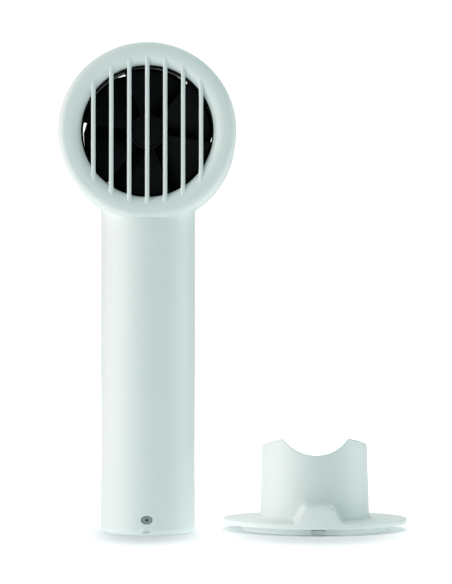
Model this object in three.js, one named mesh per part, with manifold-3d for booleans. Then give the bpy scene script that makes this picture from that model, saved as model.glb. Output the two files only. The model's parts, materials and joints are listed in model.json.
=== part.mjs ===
// A rechargeable hand fan that stands on the end of its handle, with its loose docking stand beside it.
// Millimetres, +Z up, the fan faces -Y. The origin is the middle of the handle's flat foot, on the table.
import * as THREE from "three";
import { mergeVertices } from "three/addons/utils/BufferGeometryUtils.js";
import Module from "manifold-3d";

const wasm = await Module();
wasm.setup();

// Driving dimensions of the fan.
const HANDLE_RADIUS = 19.65;
const HANDLE_WALL = 1.8;
const FOOT_FILLET = 2.2;
const HEAD_RADIUS = 36.8;
const HEAD_CENTRE = 167;
const HEAD_FRONT = -20.5;
const HEAD_REAR = 20.5;
const DRUM_WALL = 2;
const RIM_FILLET = 3;
const COVER_JOINT = 17.3;
const APERTURE_RADIUS = 27.4;
const INTAKE_RADIUS = 31.2;
const BAR_PITCH = 7.41;
const BAR_WIDTH = 1.73;
const FRONT_BARS = 7;
const REAR_BARS = 9;
const GAP = 0.3;
const FIT = 0.06;

// Sides of a turned piece, by size.
const LARGE = 32;
const MEDIUM = 20;
const SMALL = 12;
const TINY = 8;

// Driving dimensions of the impeller and its motor, on the head's axis.
const BLADES = 6;
const BLADE_TIP = 27;
const HUB_RADIUS = 7.4;
const BLADE_FRONT = -10.4;
const BLADE_REAR = -2.6;
const BLADE_THICKNESS = 1.1;
const BLADE_SPAN = 61;
const BLADE_TIP_SPAN = 50;
const BLADE_EDGE_ANGLE = 51.5;
const SHAFT_RADIUS = 1;
const MOTOR_RADIUS = 12.25;
const MOTOR_FRONT = 1.8;
const MOTOR_REAR = 12.6;
const MOTOR_SCREW_OFFSET = 8.5;

// Driving dimensions of what the handle holds.
const CELL_RADIUS = 9.2;
const CELL_BOTTOM = 18;
const CELL_LENGTH = 65.2;
const SOCKET_HEIGHT = 6.6;
const BUTTON_HEIGHT = 112;
const BUTTON_RADIUS = 5.8;
const LENS_HEIGHT = 102;
const CAP_RADIUS = 16.2;
const CAP_THICKNESS = 1.8;
const CAP_SCREW = { x: 12.6, y: 3.4 };

// Driving dimensions of the stand, about its own upright axis.
const STAND_PLACE = { x: 70.7, y: 17.6 };
const PLATE_RADIUS = 39.15;
const PLATE_BOTTOM = 2.8;
const PLATE_TOP = 5;
const FOOT_RING = { outer: 30.9, inner: 28.9 };
const COLLAR = { foot: 23.2, top: 22.35, bore: 20 };
const CROWN = { radius: 90, front: 40.47, rear: 37.37 };
const SCOOP = { radius: 17.07, front: 49.9, rear: 42.6 };
const HOOD = { base: 16.7, top: 11.1, height: 11.3, wall: 1.6 };
const CABLE_NOTCH = 5.6;
const SEAT = { radius: 19.4, height: 2 };
const STAND_SCREW = { radius: 25, angles: [90, 210, 330] };

const material = (name, color, roughness, metalness = 0) => {
  return new THREE.MeshStandardMaterial({ name, color, roughness, metalness });
};
const WHITE_ABS = material("white_abs", 0xe4edea, 0.5);
const BLACK_PLASTIC = material("black_plastic", 0x121416, 0.45);
const GREY_PLASTIC = material("grey_plastic", 0x6c8283, 0.4);
const WHITE_NYLON = material("white_nylon", 0xdedfda, 0.5);
const CLEAR_LENS = material("clear_lens", 0xdfe6e4, 0.2);
const STEEL = material("steel", 0xa9acae, 0.35, 1);
const NICKEL = material("nickel", 0xb9b6ad, 0.3, 1);
const BRONZE = material("bronze", 0x9a6b3c, 0.45, 1);
const COPPER = material("copper", 0xb06a3b, 0.35, 1);
const FERRITE = material("ferrite", 0x35373a, 0.7);
const CELL_SLEEVE = material("cell_sleeve", 0x2f6f9f, 0.4);
const FOAM = material("foam", 0x2a2b2d, 0.9);
const BOARD = material("board", 0x1f5a3a, 0.5);
const RED_WIRE = material("red_wire", 0xb3201f, 0.5);
const BLACK_WIRE = material("black_wire", 0x17181a, 0.5);

const radians = THREE.MathUtils.degToRad;
const fan = new THREE.Group();
const stand = new THREE.Group();
stand.position.set(STAND_PLACE.x, STAND_PLACE.y, 0);
fan.add(stand);

// A closed geometry as a manifold-3d solid, with its faces turned outwards.
function solid(geometry) {
  const bare = geometry.clone();
  bare.deleteAttribute("normal");
  bare.deleteAttribute("uv");
  const merged = mergeVertices(bare, 1e-4);
  const vertProperties = merged.attributes.position.array;
  const corners = [];
  for (let i = 0; i < merged.index.count; i += 3) {
    const [a, b, c] = merged.index.array.slice(i, i + 3);
    if (a !== b && b !== c && c !== a) corners.push([a, b, c]);
  }
  const made = (order) => {
    const triVerts = new Uint32Array(corners.flatMap(order));
    return new wasm.Manifold(new wasm.Mesh({ numProp: 3, vertProperties, triVerts }));
  };
  const first = made(([a, b, c]) => [a, b, c]);
  return first.volume() > 0 ? first : made(([a, b, c]) => [a, c, b]);
}

// A manifold-3d solid as a named mesh in a group.
function node(name, made, look, group = fan) {
  const { vertProperties, triVerts } = made.getMesh();
  const geometry = new THREE.BufferGeometry();
  geometry.setAttribute("position", new THREE.BufferAttribute(vertProperties, 3));
  geometry.setIndex(new THREE.BufferAttribute(triVerts, 1));
  geometry.computeVertexNormals();
  const mesh = new THREE.Mesh(geometry, look);
  mesh.name = name;
  group.add(mesh);
}

const joined = (parts) => parts.reduce((all, part) => all.add(part));
const block = (x0, x1, y0, y1, z0, z1) => {
  const box = new THREE.BoxGeometry(x1 - x0, y1 - y0, z1 - z0);
  return solid(box.translate((x0 + x1) / 2, (y0 + y1) / 2, (z0 + z1) / 2));
};

// Profiles are lists of [radius, height]; the height runs along the axis that the piece is turned on.
const lathed = (profile, sides) => {
  const points = [...profile, profile[0]].map(([r, h]) => new THREE.Vector2(r, h));
  return new THREE.LatheGeometry(points, sides);
};
const onHead = (profile, sides = MEDIUM) => solid(lathed(profile, sides).translate(0, 0, HEAD_CENTRE));
const upright = (profile, sides = MEDIUM, x = 0, y = 0) => {
  return solid(lathed(profile, sides).rotateX(Math.PI / 2).translate(x, y, 0));
};
const across = (profile, sides, x, z) => solid(lathed(profile, sides).translate(x, 0, z));
const bar = (radius, low, high) => [[0, low], [radius, low], [radius, high], [0, high]];
const tube = (inner, outer, low, high) => {
  return [[inner, low], [outer, low], [outer, high], [inner, high]];
};

// Points of an elliptical quarter or other stretch, as [radius, height].
function arc(centre, radii, from, to, steps) {
  return Array.from({ length: steps + 1 }, (_, i) => {
    const angle = radians(from + ((to - from) * i) / steps);
    return [centre[0] + radii[0] * Math.cos(angle), centre[1] + radii[1] * Math.sin(angle)];
  });
}

// An outline in x and z, extruded along y from one place to another.
function extrudedAlongY(shape, low, high, curveSegments = 6) {
  const settings = { depth: high - low, bevelEnabled: false, curveSegments };
  return solid(new THREE.ExtrudeGeometry(shape, settings).rotateX(Math.PI / 2).translate(0, high, 0));
}

// Both handle halves as one closed housing, before it is parted.
function housing() {
  const foot = HANDLE_RADIUS - FOOT_FILLET;
  const handle = upright(
    [
      [0, 0],
      ...arc([foot, FOOT_FILLET], [FOOT_FILLET, FOOT_FILLET], -90, 0, 3),
      [HANDLE_RADIUS, HEAD_CENTRE],
      [0, HEAD_CENTRE],
    ],
    LARGE,
  );
  const drum = onHead(bar(HEAD_RADIUS, GAP - COVER_JOINT, COVER_JOINT - GAP), LARGE);
  const inside = HANDLE_RADIUS - HANDLE_WALL;
  const bore = upright(bar(inside, CAP_THICKNESS + GAP, HEAD_CENTRE), LARGE);
  const drumBore = onHead(bar(HEAD_RADIUS - DRUM_WALL, -COVER_JOINT, COVER_JOINT), LARGE);
  const capHole = upright(bar(CAP_RADIUS + GAP, -1, CAP_THICKNESS + 1), LARGE);
  const coverRadius = HEAD_RADIUS + GAP;
  const frontCoverSpace = onHead(bar(coverRadius, -30, GAP - COVER_JOINT), LARGE);
  const rearCoverSpace = onHead(bar(coverRadius, COVER_JOINT - GAP, 30), LARGE);
  return handle
    .add(drum)
    .subtract(bore)
    .subtract(drumBore)
    .subtract(capHole)
    .subtract(frontCoverSpace)
    .subtract(rearCoverSpace)
    .add(cellRibs(inside));
}

// Flat rings inside the handle: a shelf under the cell and two that steady it, notched for the wires.
function cellRibs(inside) {
  const thickness = 1.6;
  const reach = inside + 0.4;
  const rings = [
    [5, 10.7],
    [CELL_RADIUS + 0.5, 32],
    [CELL_RADIUS + 0.5, 70],
  ];
  const ribs = joined(rings.map(([hole, z]) => upright(tube(hole, reach, z, z + thickness), LARGE)));
  const sideNotches = [-1, 1].map((side) => block(side * 12 - 2.2, side * 12 + 2.2, 5, 11, 5, 80));
  const rearNotch = block(0.4, 3.6, 9.6, 14.6, 5, 14);
  return ribs.subtract(joined([...sideNotches, rearNotch]));
}

// An ellipse as an outline in x and z.
function ellipse(halfWidth, halfHeight, x, z) {
  const shape = new THREE.Shape();
  shape.absellipse(x, z, halfWidth, halfHeight, 0, 2 * Math.PI, false, 0);
  return shape;
}

function frontShell(whole) {
  const socketHole = extrudedAlongY(ellipse(2.5, 2, 0, SOCKET_HEIGHT), -25, -10, 4);
  const notchDepth = 1.3;
  const notch = new THREE.Shape();
  notch.absellipse(0, 0.95, 1.55, 1.5, 0, Math.PI, false, 0);
  const notchCut = extrudedAlongY(notch, -25, notchDepth - HANDLE_RADIUS, 4);
  const half = whole.intersect(block(-50, 50, -50, -GAP / 2, -5, 250));
  node("front_shell", half.subtract(socketHole).subtract(notchCut), WHITE_ABS);
}

// The rear half carries the cap's screw bosses, the switch board's posts and the button's hole.
function rearShell(whole) {
  const wallInside = HANDLE_RADIUS - HANDLE_WALL + 0.4;
  const bosses = [-1, 1].flatMap((side) => {
    const web = [side * CAP_SCREW.x, side * 17.4].sort((a, b) => a - b);
    return [
      upright(bar(2.6, CAP_THICKNESS + GAP, 10), TINY, side * CAP_SCREW.x, CAP_SCREW.y),
      block(web[0], web[1], 2.4, 4.4, CAP_THICKNESS + GAP, 10),
    ];
  });
  const posts = [-6, 6].flatMap((x) => {
    return [99, 124].map((z) => across(bar(1.3, 9.7, wallInside - 1), TINY, x, z));
  });
  const holes = [
    across(bar(BUTTON_RADIUS + GAP, 12, 25), MEDIUM, 0, BUTTON_HEIGHT),
    across(bar(1.6, 12, 25), SMALL, 0, LENS_HEIGHT),
    ...[-1, 1].map((side) => upright(bar(1, 0, 9), TINY, side * CAP_SCREW.x, CAP_SCREW.y)),
  ];
  const half = whole.intersect(block(-50, 50, GAP / 2, 50, -5, 250));
  node("rear_shell", joined([half, ...bosses, ...posts]).subtract(joined(holes)), WHITE_ABS);
}

// Upright bars with rounded outer faces, across the opening of a head cover.
function grilleBars(count, reach, face, back) {
  const half = BAR_WIDTH / 2;
  const outward = Math.sign(face);
  return Array.from({ length: count }, (_, i) => {
    const x = (i - (count - 1) / 2) * BAR_PITCH;
    const length = 2 * Math.sqrt(reach * reach - x * x);
    const shape = new THREE.Shape();
    shape.moveTo(-half, back);
    shape.lineTo(half, back);
    shape.lineTo(half, face - outward * half);
    shape.absarc(0, face - outward * half, half, 0, outward * Math.PI, outward < 0);
    shape.closePath();
    const settings = { depth: length, bevelEnabled: false, curveSegments: 3 };
    const geometry = new THREE.ExtrudeGeometry(shape, settings);
    return solid(geometry.translate(x, 0, HEAD_CENTRE - length / 2));
  });
}

// The front cover: a rim with a rounded mouth that curves in to the opening, and its seven bars.
function frontGrille() {
  const face = HEAD_RADIUS - RIM_FILLET;
  const mouth = 5.1;
  const mouthDepth = 6.5;
  const inner = APERTURE_RADIUS + mouth;
  const rim = onHead(
    [
      [HEAD_RADIUS, -COVER_JOINT],
      ...arc([face, HEAD_FRONT + RIM_FILLET], [RIM_FILLET, RIM_FILLET], 0, -90, 3),
      ...arc([inner, HEAD_FRONT + mouthDepth], [mouth, mouthDepth], -90, -180, 4),
      [APERTURE_RADIUS + 1.8, HEAD_FRONT + mouthDepth],
      [30.6, -17.2],
      [32.6, -18.3],
      [32.6, -15],
      [34.5, -15],
      [34.5, -COVER_JOINT],
    ],
    LARGE,
  );
  const bars = grilleBars(FRONT_BARS, 31.3, HEAD_FRONT + 0.2, -16.6);
  node("front_grille", joined([rim, ...bars]), WHITE_ABS);
}

// The rear cover, with a wider opening and nine bars, where the air comes in.
function rearGrille() {
  const face = HEAD_RADIUS - RIM_FILLET;
  const rim = onHead(
    [
      [HEAD_RADIUS, COVER_JOINT],
      ...arc([face, HEAD_REAR - RIM_FILLET], [RIM_FILLET, RIM_FILLET], 0, 90, 3),
      ...arc([INTAKE_RADIUS + 2, HEAD_REAR - 3.2], [2, 3.2], 90, 180, 2),
      [32.9, COVER_JOINT],
      [32.9, 15],
      [34.5, 15],
      [34.5, COVER_JOINT],
    ],
    LARGE,
  );
  const bars = grilleBars(REAR_BARS, 32.6, HEAD_REAR - 0.2, 17.8);
  const wireNotch = block(-9, 9, 14, 17.2, 130, 138);
  node("rear_grille", joined([rim.subtract(wireNotch), ...bars]), WHITE_ABS);
}

// The black duct round the impeller, which flares to the rear, with the motor's cup on three struts.
function ductFrame() {
  const throat = APERTURE_RADIUS + 0.2;
  const flare = arc([throat + 3.8, -1], [3.8, 15.2], 180, 90, 3);
  const wall = onHead(
    [
      [throat, -13.4],
      ...flare,
      ...flare.toReversed().map(([r, y]) => [r + 1.8, y]),
      [throat + 1.8, -7.6],
      [34.4, -7.6],
      [34.4, -9],
      [throat + 1.8, -9],
      [throat + 1.8, -13.4],
    ],
    LARGE,
  );
  const cup = onHead([[3.6, 0], [14.2, 0], [14.2, 12.8], [12.6, 12.8], [12.6, 1.5], [3.6, 1.5]]);
  const struts = [30, 150, 270].map((angle) => {
    const strut = new THREE.BoxGeometry(15.6, 7, 3);
    strut.translate(21.4, 9.5, 0);
    strut.rotateY(radians(-angle));
    return solid(strut.translate(0, 0, HEAD_CENTRE));
  });
  const screwHoles = [-1, 1].map((side) => {
    return across(bar(1.15, -1, 3), TINY, side * MOTOR_SCREW_OFFSET, HEAD_CENTRE);
  });
  node("duct_frame", joined([wall, cup, ...struts]).subtract(joined(screwHoles)), BLACK_PLASTIC);
}

// A sheet of even thickness whose point at (u, v) is [x, y, z]; it thickens along y.
function sheet(point, across, along, thickness) {
  const positions = [];
  for (const side of [-0.5, 0.5]) {
    for (let i = 0; i <= across; i++) {
      for (let j = 0; j <= along; j++) {
        const [x, y, z] = point(i / across, j / along);
        positions.push(x, y + side * thickness, z);
      }
    }
  }
  const row = along + 1;
  const layer = row * (across + 1);
  const index = [];
  const quad = (a, b, c, d) => index.push(a, b, c, a, c, d);
  for (let i = 0; i < across; i++) {
    for (let j = 0; j < along; j++) {
      const a = i * row + j;
      quad(a, a + 1, a + row + 1, a + row);
      quad(layer + a, layer + a + row, layer + a + row + 1, layer + a + 1);
    }
  }
  for (let i = 0; i < across; i++) {
    const a = i * row;
    const b = a + along;
    quad(a, a + row, layer + a + row, layer + a);
    quad(b, layer + b, layer + b + row, b + row);
  }
  for (let j = 0; j < along; j++) {
    const a = j;
    const b = across * row + j;
    quad(a, layer + a, layer + a + 1, a + 1);
    quad(b, b + 1, layer + b + 1, layer + b);
  }
  const geometry = new THREE.BufferGeometry();
  geometry.setAttribute("position", new THREE.Float32BufferAttribute(positions, 3));
  geometry.setIndex(index);
  return solid(geometry);
}

// One blade is a helical sheet; its rear edge falls back near the tip, which rounds that corner.
function blade(number) {
  const edge = BLADE_EDGE_ANGLE + (360 / BLADES) * number;
  const root = HUB_RADIUS - 0.8;
  const point = (u, v) => {
    const radius = root + (BLADE_TIP - root) * u;
    const trim = THREE.MathUtils.smoothstep(radius, 23.5, BLADE_TIP);
    const span = BLADE_SPAN + (BLADE_TIP_SPAN - BLADE_SPAN) * trim;
    const angle = radians(edge - span * v);
    const y = BLADE_FRONT + (BLADE_REAR - BLADE_FRONT) * v;
    return [radius * Math.cos(angle), y, HEAD_CENTRE + radius * Math.sin(angle)];
  };
  return sheet(point, 5, 4, BLADE_THICKNESS);
}

function rotor() {
  const bore = SHAFT_RADIUS + FIT;
  const hub = onHead([
    [bore, -10.6],
    [HUB_RADIUS, -10.6],
    [HUB_RADIUS, -2.2],
    [6.2, -2.2],
    [6.2, -9.2],
    [2.4, -9.2],
    [2.4, -2.6],
    [bore, -2.6],
  ]);
  const blades = Array.from({ length: BLADES }, (_, number) => blade(number));
  const hollow = onHead(tube(2.4, 6.2, -9.2, -1));
  node("impeller", joined([hub, ...blades.map((one) => one.subtract(hollow))]), BLACK_PLASTIC);
  const cap = [
    [0, -11.9],
    [5.8, -11.9],
    [5.9, -11.6],
    [6.2, -11.6],
    [6.3, -11.9],
    [7.1, -11.9],
    [HUB_RADIUS, -11.6],
    [HUB_RADIUS, -10.9],
    [0, -10.9],
  ];
  node("hub_cap", onHead(cap), BLACK_PLASTIC);
  node("motor_shaft", onHead(bar(SHAFT_RADIUS, -10, 15.3), SMALL), STEEL);
  node("armature", armature(bore), COPPER);
  node("commutator", onHead(tube(bore, 2.4, 9.9, 12.3), SMALL), COPPER);
}

// Three wound poles: an outline that dips between the pole shoes, on a bored core.
function armature(bore) {
  const outline = new THREE.Shape();
  for (let pole = 0; pole < 3; pole++) {
    const middle = 120 * pole + 90;
    arc([0, 0], [8.3, 8.3], middle - 46, middle + 46, 4).forEach(([x, z], i) => {
      if (pole === 0 && i === 0) outline.moveTo(x, z);
      else outline.lineTo(x, z);
    });
    const dip = radians(middle + 60);
    outline.lineTo(5 * Math.cos(dip), 5 * Math.sin(dip));
  }
  outline.closePath();
  const core = extrudedAlongY(outline, 4.4, 9.6).translate([0, 0, HEAD_CENTRE]);
  return core.subtract(onHead(bar(bore, 0, 12), SMALL));
}

function motor() {
  const bore = SHAFT_RADIUS + FIT;
  const can = onHead(
    [
      [3.2, MOTOR_FRONT],
      [MOTOR_RADIUS, MOTOR_FRONT],
      [MOTOR_RADIUS, MOTOR_REAR],
      [11.45, MOTOR_REAR],
      [11.45, MOTOR_FRONT + 1],
      [3.2, MOTOR_FRONT + 1],
    ],
    MEDIUM,
  );
  const screwHole = (side) => across(bar(0.95, 1, 4), TINY, side * MOTOR_SCREW_OFFSET, HEAD_CENTRE);
  node("motor_can", can.subtract(screwHole(-1)).subtract(screwHole(1)), STEEL);
  const endCap = [
    [2.5, 12.9],
    [12.2, 12.9],
    [12.2, 14.4],
    [4.2, 14.4],
    [4.2, 15.2],
    [2.5, 15.2],
  ];
  node("motor_end_cap", onHead(endCap), WHITE_NYLON);
  node("front_bush", onHead(tube(bore, 2.9, 0.6, 3.6), SMALL), BRONZE);
  node("rear_bush", onHead(tube(bore, 2.2, 12.7, 15), SMALL), BRONZE);
  [["upper", 90], ["lower", 270]].forEach(([name, middle]) => {
    const outline = new THREE.Shape();
    const outer = arc([0, 0], [11.1, 11.1], middle - 58, middle + 58, 6);
    const inner = arc([0, 0], [9, 9], middle + 58, middle - 58, 6);
    outline.setFromPoints([...outer, ...inner].map(([x, z]) => new THREE.Vector2(x, z)));
    const piece = extrudedAlongY(outline, 3.2, 11.6).translate([0, 0, HEAD_CENTRE]);
    node("magnet_" + name, piece, FERRITE);
  });
  [["left", -1], ["right", 1]].forEach(([name, side]) => {
    const between = (near, far) => [side * near, side * far].sort((a, b) => a - b);
    const screw = [[0, -1.2], [1.8, -1.2], [1.8, -0.3], [0.75, -0.3], [0.75, 3], [0, 3]];
    const screwX = side * MOTOR_SCREW_OFFSET;
    node("motor_screw_" + name, across(screw, TINY, screwX, HEAD_CENTRE), STEEL);
    const low = HEAD_CENTRE - 0.8;
    const high = HEAD_CENTRE + 0.8;
    node("brush_" + name, block(...between(2.8, 4.4), 10, 12.6, low, high), COPPER);
    node("motor_terminal_" + name, block(...between(5, 6), 14.7, 17, low, high), NICKEL);
  });
}

function powerCell() {
  const top = CELL_BOTTOM + CELL_LENGTH;
  const sleeve = [
    [0, CELL_BOTTOM],
    [CELL_RADIUS - 0.6, CELL_BOTTOM],
    [CELL_RADIUS, CELL_BOTTOM + 0.6],
    [CELL_RADIUS, top - 0.8],
    [CELL_RADIUS - 0.8, top],
    [0, top],
  ];
  node("battery_cell", upright(sleeve), CELL_SLEEVE);
  node("battery_tab_top", block(-3.5, 3.5, -7, 8, top + GAP, top + 0.6), NICKEL);
  node("battery_tab_bottom", block(-3.5, 3.5, -7, 8, CELL_BOTTOM - 0.6, CELL_BOTTOM - GAP), NICKEL);
  node("battery_foam", upright(bar(8.4, 12.6, CELL_BOTTOM - 0.9)), FOAM);
}

// The charging inlet at the front of the foot, on a small board that lies above the bottom cap.
function chargingBoard() {
  node("charge_board", block(-9, 9, -14.5, 13, 2.4, 3.6), BOARD);
  node("charge_chip", block(-2.5, 2.5, 1, 5, 3.9, 5.1), BLACK_PLASTIC);
  const body = block(-4, 4, -17, -7.2, 3.9, 9.3);
  const nose = extrudedAlongY(ellipse(2.2, 1.7, 0, SOCKET_HEIGHT), -19.1, -16, 4);
  const pinHole = across(bar(1.1, -20, -9), SMALL, 0, SOCKET_HEIGHT);
  node("charge_socket", body.add(nose).subtract(pinHole), GREY_PLASTIC);
  node("socket_pin", across(bar(0.45, -18.3, -9.3), TINY, 0, SOCKET_HEIGHT), NICKEL);
}

function bottomCap() {
  const disc = upright([[0, 0], [CAP_RADIUS - 0.3, 0], [CAP_RADIUS, 0.3], [CAP_RADIUS, 1.8], [0, 1.8]], LARGE);
  const holes = [-1, 1].flatMap((side) => [
    upright(bar(2.1, -1, 0.9), SMALL, side * CAP_SCREW.x, CAP_SCREW.y),
    upright(bar(1.1, 0, 3), TINY, side * CAP_SCREW.x, CAP_SCREW.y),
  ]);
  node("bottom_cap", disc.subtract(joined(holes)), WHITE_ABS);
  [["left", -1], ["right", 1]].forEach(([name, side]) => {
    const screw = [[0, 0.1], [1.7, 0.1], [1.7, 0.6], [0.8, 0.6], [0.8, 8.5], [0, 8.5]];
    node("cap_screw_" + name, upright(screw, TINY, side * CAP_SCREW.x, CAP_SCREW.y), STEEL);
  });
}

// The switch behind the rear wall: board, switch, its plunger, the round button, and the charge light.
function switchGroup() {
  node("switch_board", block(-8, 8, 8.2, 9.4, 96.5, 126.5), BOARD);
  const body = block(-3, 3, 9.7, 13.2, BUTTON_HEIGHT - 3, BUTTON_HEIGHT + 3);
  const well = across(bar(2, 11.5, 14), SMALL, 0, BUTTON_HEIGHT);
  node("tact_switch", body.subtract(well), BLACK_PLASTIC);
  node("tact_plunger", across(bar(1.6, 11.9, 14.2), SMALL, 0, BUTTON_HEIGHT), WHITE_NYLON);
  const button = [
    [0, 14.5],
    [1.5, 14.5],
    [1.5, 15],
    [7.2, 15],
    [7.2, 16],
    [BUTTON_RADIUS, 16],
    [BUTTON_RADIUS, 19.6],
    [5.5, 19.9],
    [4.6, 20.05],
    [0, 20.15],
  ];
  node("power_button", across(button, MEDIUM, 0, BUTTON_HEIGHT), WHITE_ABS);
  node("indicator_led", block(-1.6, 1.6, 9.7, 10.7, LENS_HEIGHT - 0.8, LENS_HEIGHT + 0.8), WHITE_NYLON);
  const lens = [[0, 11], [1.3, 11], [1.3, 16.2], [2.3, 16.2], [2.3, 17.2], [1.3, 17.2], [1.3, 19.5], [0, 19.6]];
  node("indicator_lens", across(lens, SMALL, 0, LENS_HEIGHT), CLEAR_LENS);
}

// A wire is one thin round rod along a smooth curve through its points.
function wire(name, look, points, steps = 12) {
  const path = new THREE.CatmullRomCurve3(points.map((p) => new THREE.Vector3(...p)));
  const section = new THREE.Shape();
  section.absarc(0, 0, 0.6, 0, 2 * Math.PI);
  const settings = { steps, extrudePath: path, curveSegments: 3, bevelEnabled: false };
  node(name, solid(new THREE.ExtrudeGeometry(section, settings)), look);
}

function wires() {
  const cellTop = CELL_BOTTOM + CELL_LENGTH + 0.6;
  [["red", -1, RED_WIRE], ["black", 1, BLACK_WIRE]].forEach(([name, side, look]) => {
    wire("motor_wire_" + name, look, [
      [side * 6, 7, 121],
      [side * 6, 7.3, 127.4],
      [side * 6, 11, 130],
      [side * 5.5, 15, 132],
      [side * 4.8, 16.1, 138],
      [side * 4.6, 16, 150],
      [side * 5.3, 15.9, 165],
    ]);
    wire("charge_wire_" + name, look, [
      [side * 7.6, 8, 4.6],
      [side * 11.4, 8.3, 9],
      [side * 12, 8.4, 30],
      [side * 12, 8.4, 80],
      [side * 9, 7.4, 92],
      [side * 6.5, 6.9, 98],
    ], 14);
  });
  wire("battery_wire_red", RED_WIRE, [[-2, 5, cellTop + 1], [-2.4, 6, 90], [-3, 6.9, 98]], 5);
  wire("battery_wire_black", BLACK_WIRE, [[2, 8.9, CELL_BOTTOM - 0.5], [2, 12.6, 13], [2, 11.2, 4.6]], 7);
}

// The stand's one moulding: plate, foot ring, tapered collar with a crowned and scooped top, and hood.
function standBody() {
  const fillet = 2;
  const overCollar = 45;
  const overPlate = 45;
  const turned = upright(
    [
      [FOOT_RING.inner, 0],
      [FOOT_RING.outer, 0],
      [FOOT_RING.outer, PLATE_BOTTOM],
      [PLATE_RADIUS - 0.4, PLATE_BOTTOM],
      [PLATE_RADIUS, PLATE_BOTTOM + 0.4],
      [PLATE_RADIUS, PLATE_TOP - 0.6],
      [PLATE_RADIUS - 0.6, PLATE_TOP],
      ...arc([COLLAR.foot + fillet, PLATE_TOP + fillet], [fillet, fillet], 270, 180, 3),
      [COLLAR.top, overCollar],
      [COLLAR.bore, overCollar],
      [COLLAR.bore, PLATE_BOTTOM],
      [FOOT_RING.inner, PLATE_BOTTOM],
    ],
    LARGE,
  );
  const tilt = ({ front, rear }) => Math.atan((front - rear) / (2 * COLLAR.top));
  const scoop = new THREE.CylinderGeometry(SCOOP.radius, SCOOP.radius, 2 * overPlate, LARGE);
  scoop.rotateX(-tilt(SCOOP));
  scoop.translate(0, 0, (SCOOP.front + SCOOP.rear) / 2);
  const crown = new THREE.CylinderGeometry(CROWN.radius, CROWN.radius, 2 * overPlate, 2 * LARGE);
  crown.rotateX(-tilt(CROWN));
  crown.translate(0, 0, (CROWN.front + CROWN.rear) / 2 - CROWN.radius);
  const trim = upright(bar(PLATE_RADIUS, 0, overCollar), LARGE);
  const hood = extrudedAlongY(hoodOutline(0, PLATE_BOTTOM + 0.2), -overPlate, -21).intersect(trim);
  const pocket = extrudedAlongY(hoodOutline(HOOD.wall, 2), HOOD.wall - PLATE_RADIUS, -15);
  const pocketStart = block(-COLLAR.bore, COLLAR.bore, -overPlate, -10, PLATE_BOTTOM - 0.01, COLLAR.bore);
  const bore = upright(bar(COLLAR.bore, PLATE_BOTTOM, 50), LARGE);
  const notch = block(-CABLE_NOTCH / 2, CABLE_NOTCH / 2, -33, -26, -1, PLATE_BOTTOM);
  const screwHoles = STAND_SCREW.angles.map((angle) => {
    const place = standScrewPlace(angle);
    return upright(bar(0.8, 1, 4.3), TINY, place.x, place.y);
  });
  const body = turned
    .intersect(solid(crown))
    .add(hood)
    .subtract(bore)
    .subtract(solid(scoop))
    .subtract(pocket.intersect(pocketStart))
    .subtract(notch)
    .subtract(joined(screwHoles));
  node("stand_body", body, WHITE_ABS, stand);
}

// The hood's outline in x and z: flared foot, leaning sides and rounded shoulders, made smaller by a wall.
function hoodOutline(wall, bottom) {
  const round = 2;
  const base = HOOD.base / 2 - wall;
  const top = HOOD.top / 2 - wall;
  const height = HOOD.height - wall;
  const right = [
    [base + (wall ? 0 : 1.2), bottom],
    [base + (wall ? 0 : 1.2), PLATE_TOP - 0.4],
    [base, PLATE_TOP + 0.3],
    [base - 0.9, PLATE_TOP + 1.6],
    ...arc([top - 0.2, height - round], [round, round], 15, 90, 3),
  ];
  const left = right.toReversed().map(([x, z]) => [-x, z]);
  const shape = new THREE.Shape();
  shape.setFromPoints([...right, ...left].map(([x, z]) => new THREE.Vector2(x, z)));
  return shape;
}

const standScrewPlace = (angle) => {
  const place = radians(angle);
  return { x: STAND_SCREW.radius * Math.cos(place), y: STAND_SCREW.radius * Math.sin(place) };
};

// The disc that closes the stand underneath, with a cable slot. The handle stands on its raised middle.
function standFloor() {
  const rim = FOOT_RING.inner - GAP;
  const disc = upright(
    [[0, 0.3], [rim, 0.3], [rim, 1.7], [SEAT.radius, 1.7], [SEAT.radius, SEAT.height], [0, SEAT.height]],
    LARGE,
  );
  const slot = block(-3, 3, -30, -21, -1, 3);
  const holes = STAND_SCREW.angles.flatMap((angle) => {
    const { x, y } = standScrewPlace(angle);
    return [upright(bar(2, -1, 1), SMALL, x, y), upright(bar(0.9, 0, 3), TINY, x, y)];
  });
  node("stand_floor", disc.subtract(slot).subtract(joined(holes)), WHITE_ABS, stand);
  STAND_SCREW.angles.forEach((angle, i) => {
    const { x, y } = standScrewPlace(angle);
    const screw = [[0, 0.35], [1.6, 0.35], [1.6, 0.75], [0.6, 0.75], [0.6, 4], [0, 4]];
    node("stand_screw_" + (i + 1), upright(screw, TINY, x, y), STEEL, stand);
  });
}

const whole = housing();
frontShell(whole);
rearShell(whole);
frontGrille();
rearGrille();
ductFrame();
rotor();
motor();
powerCell();
chargingBoard();
bottomCap();
switchGroup();
wires();
standBody();
standFloor();

export default fan;
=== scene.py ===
"""A rechargeable hand fan and its docking stand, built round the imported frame.

Shapes are worked out in millimetres and put into the meshes in metres. +Z is up and the fan faces -Y.
"""

import json
from math import radians

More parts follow.
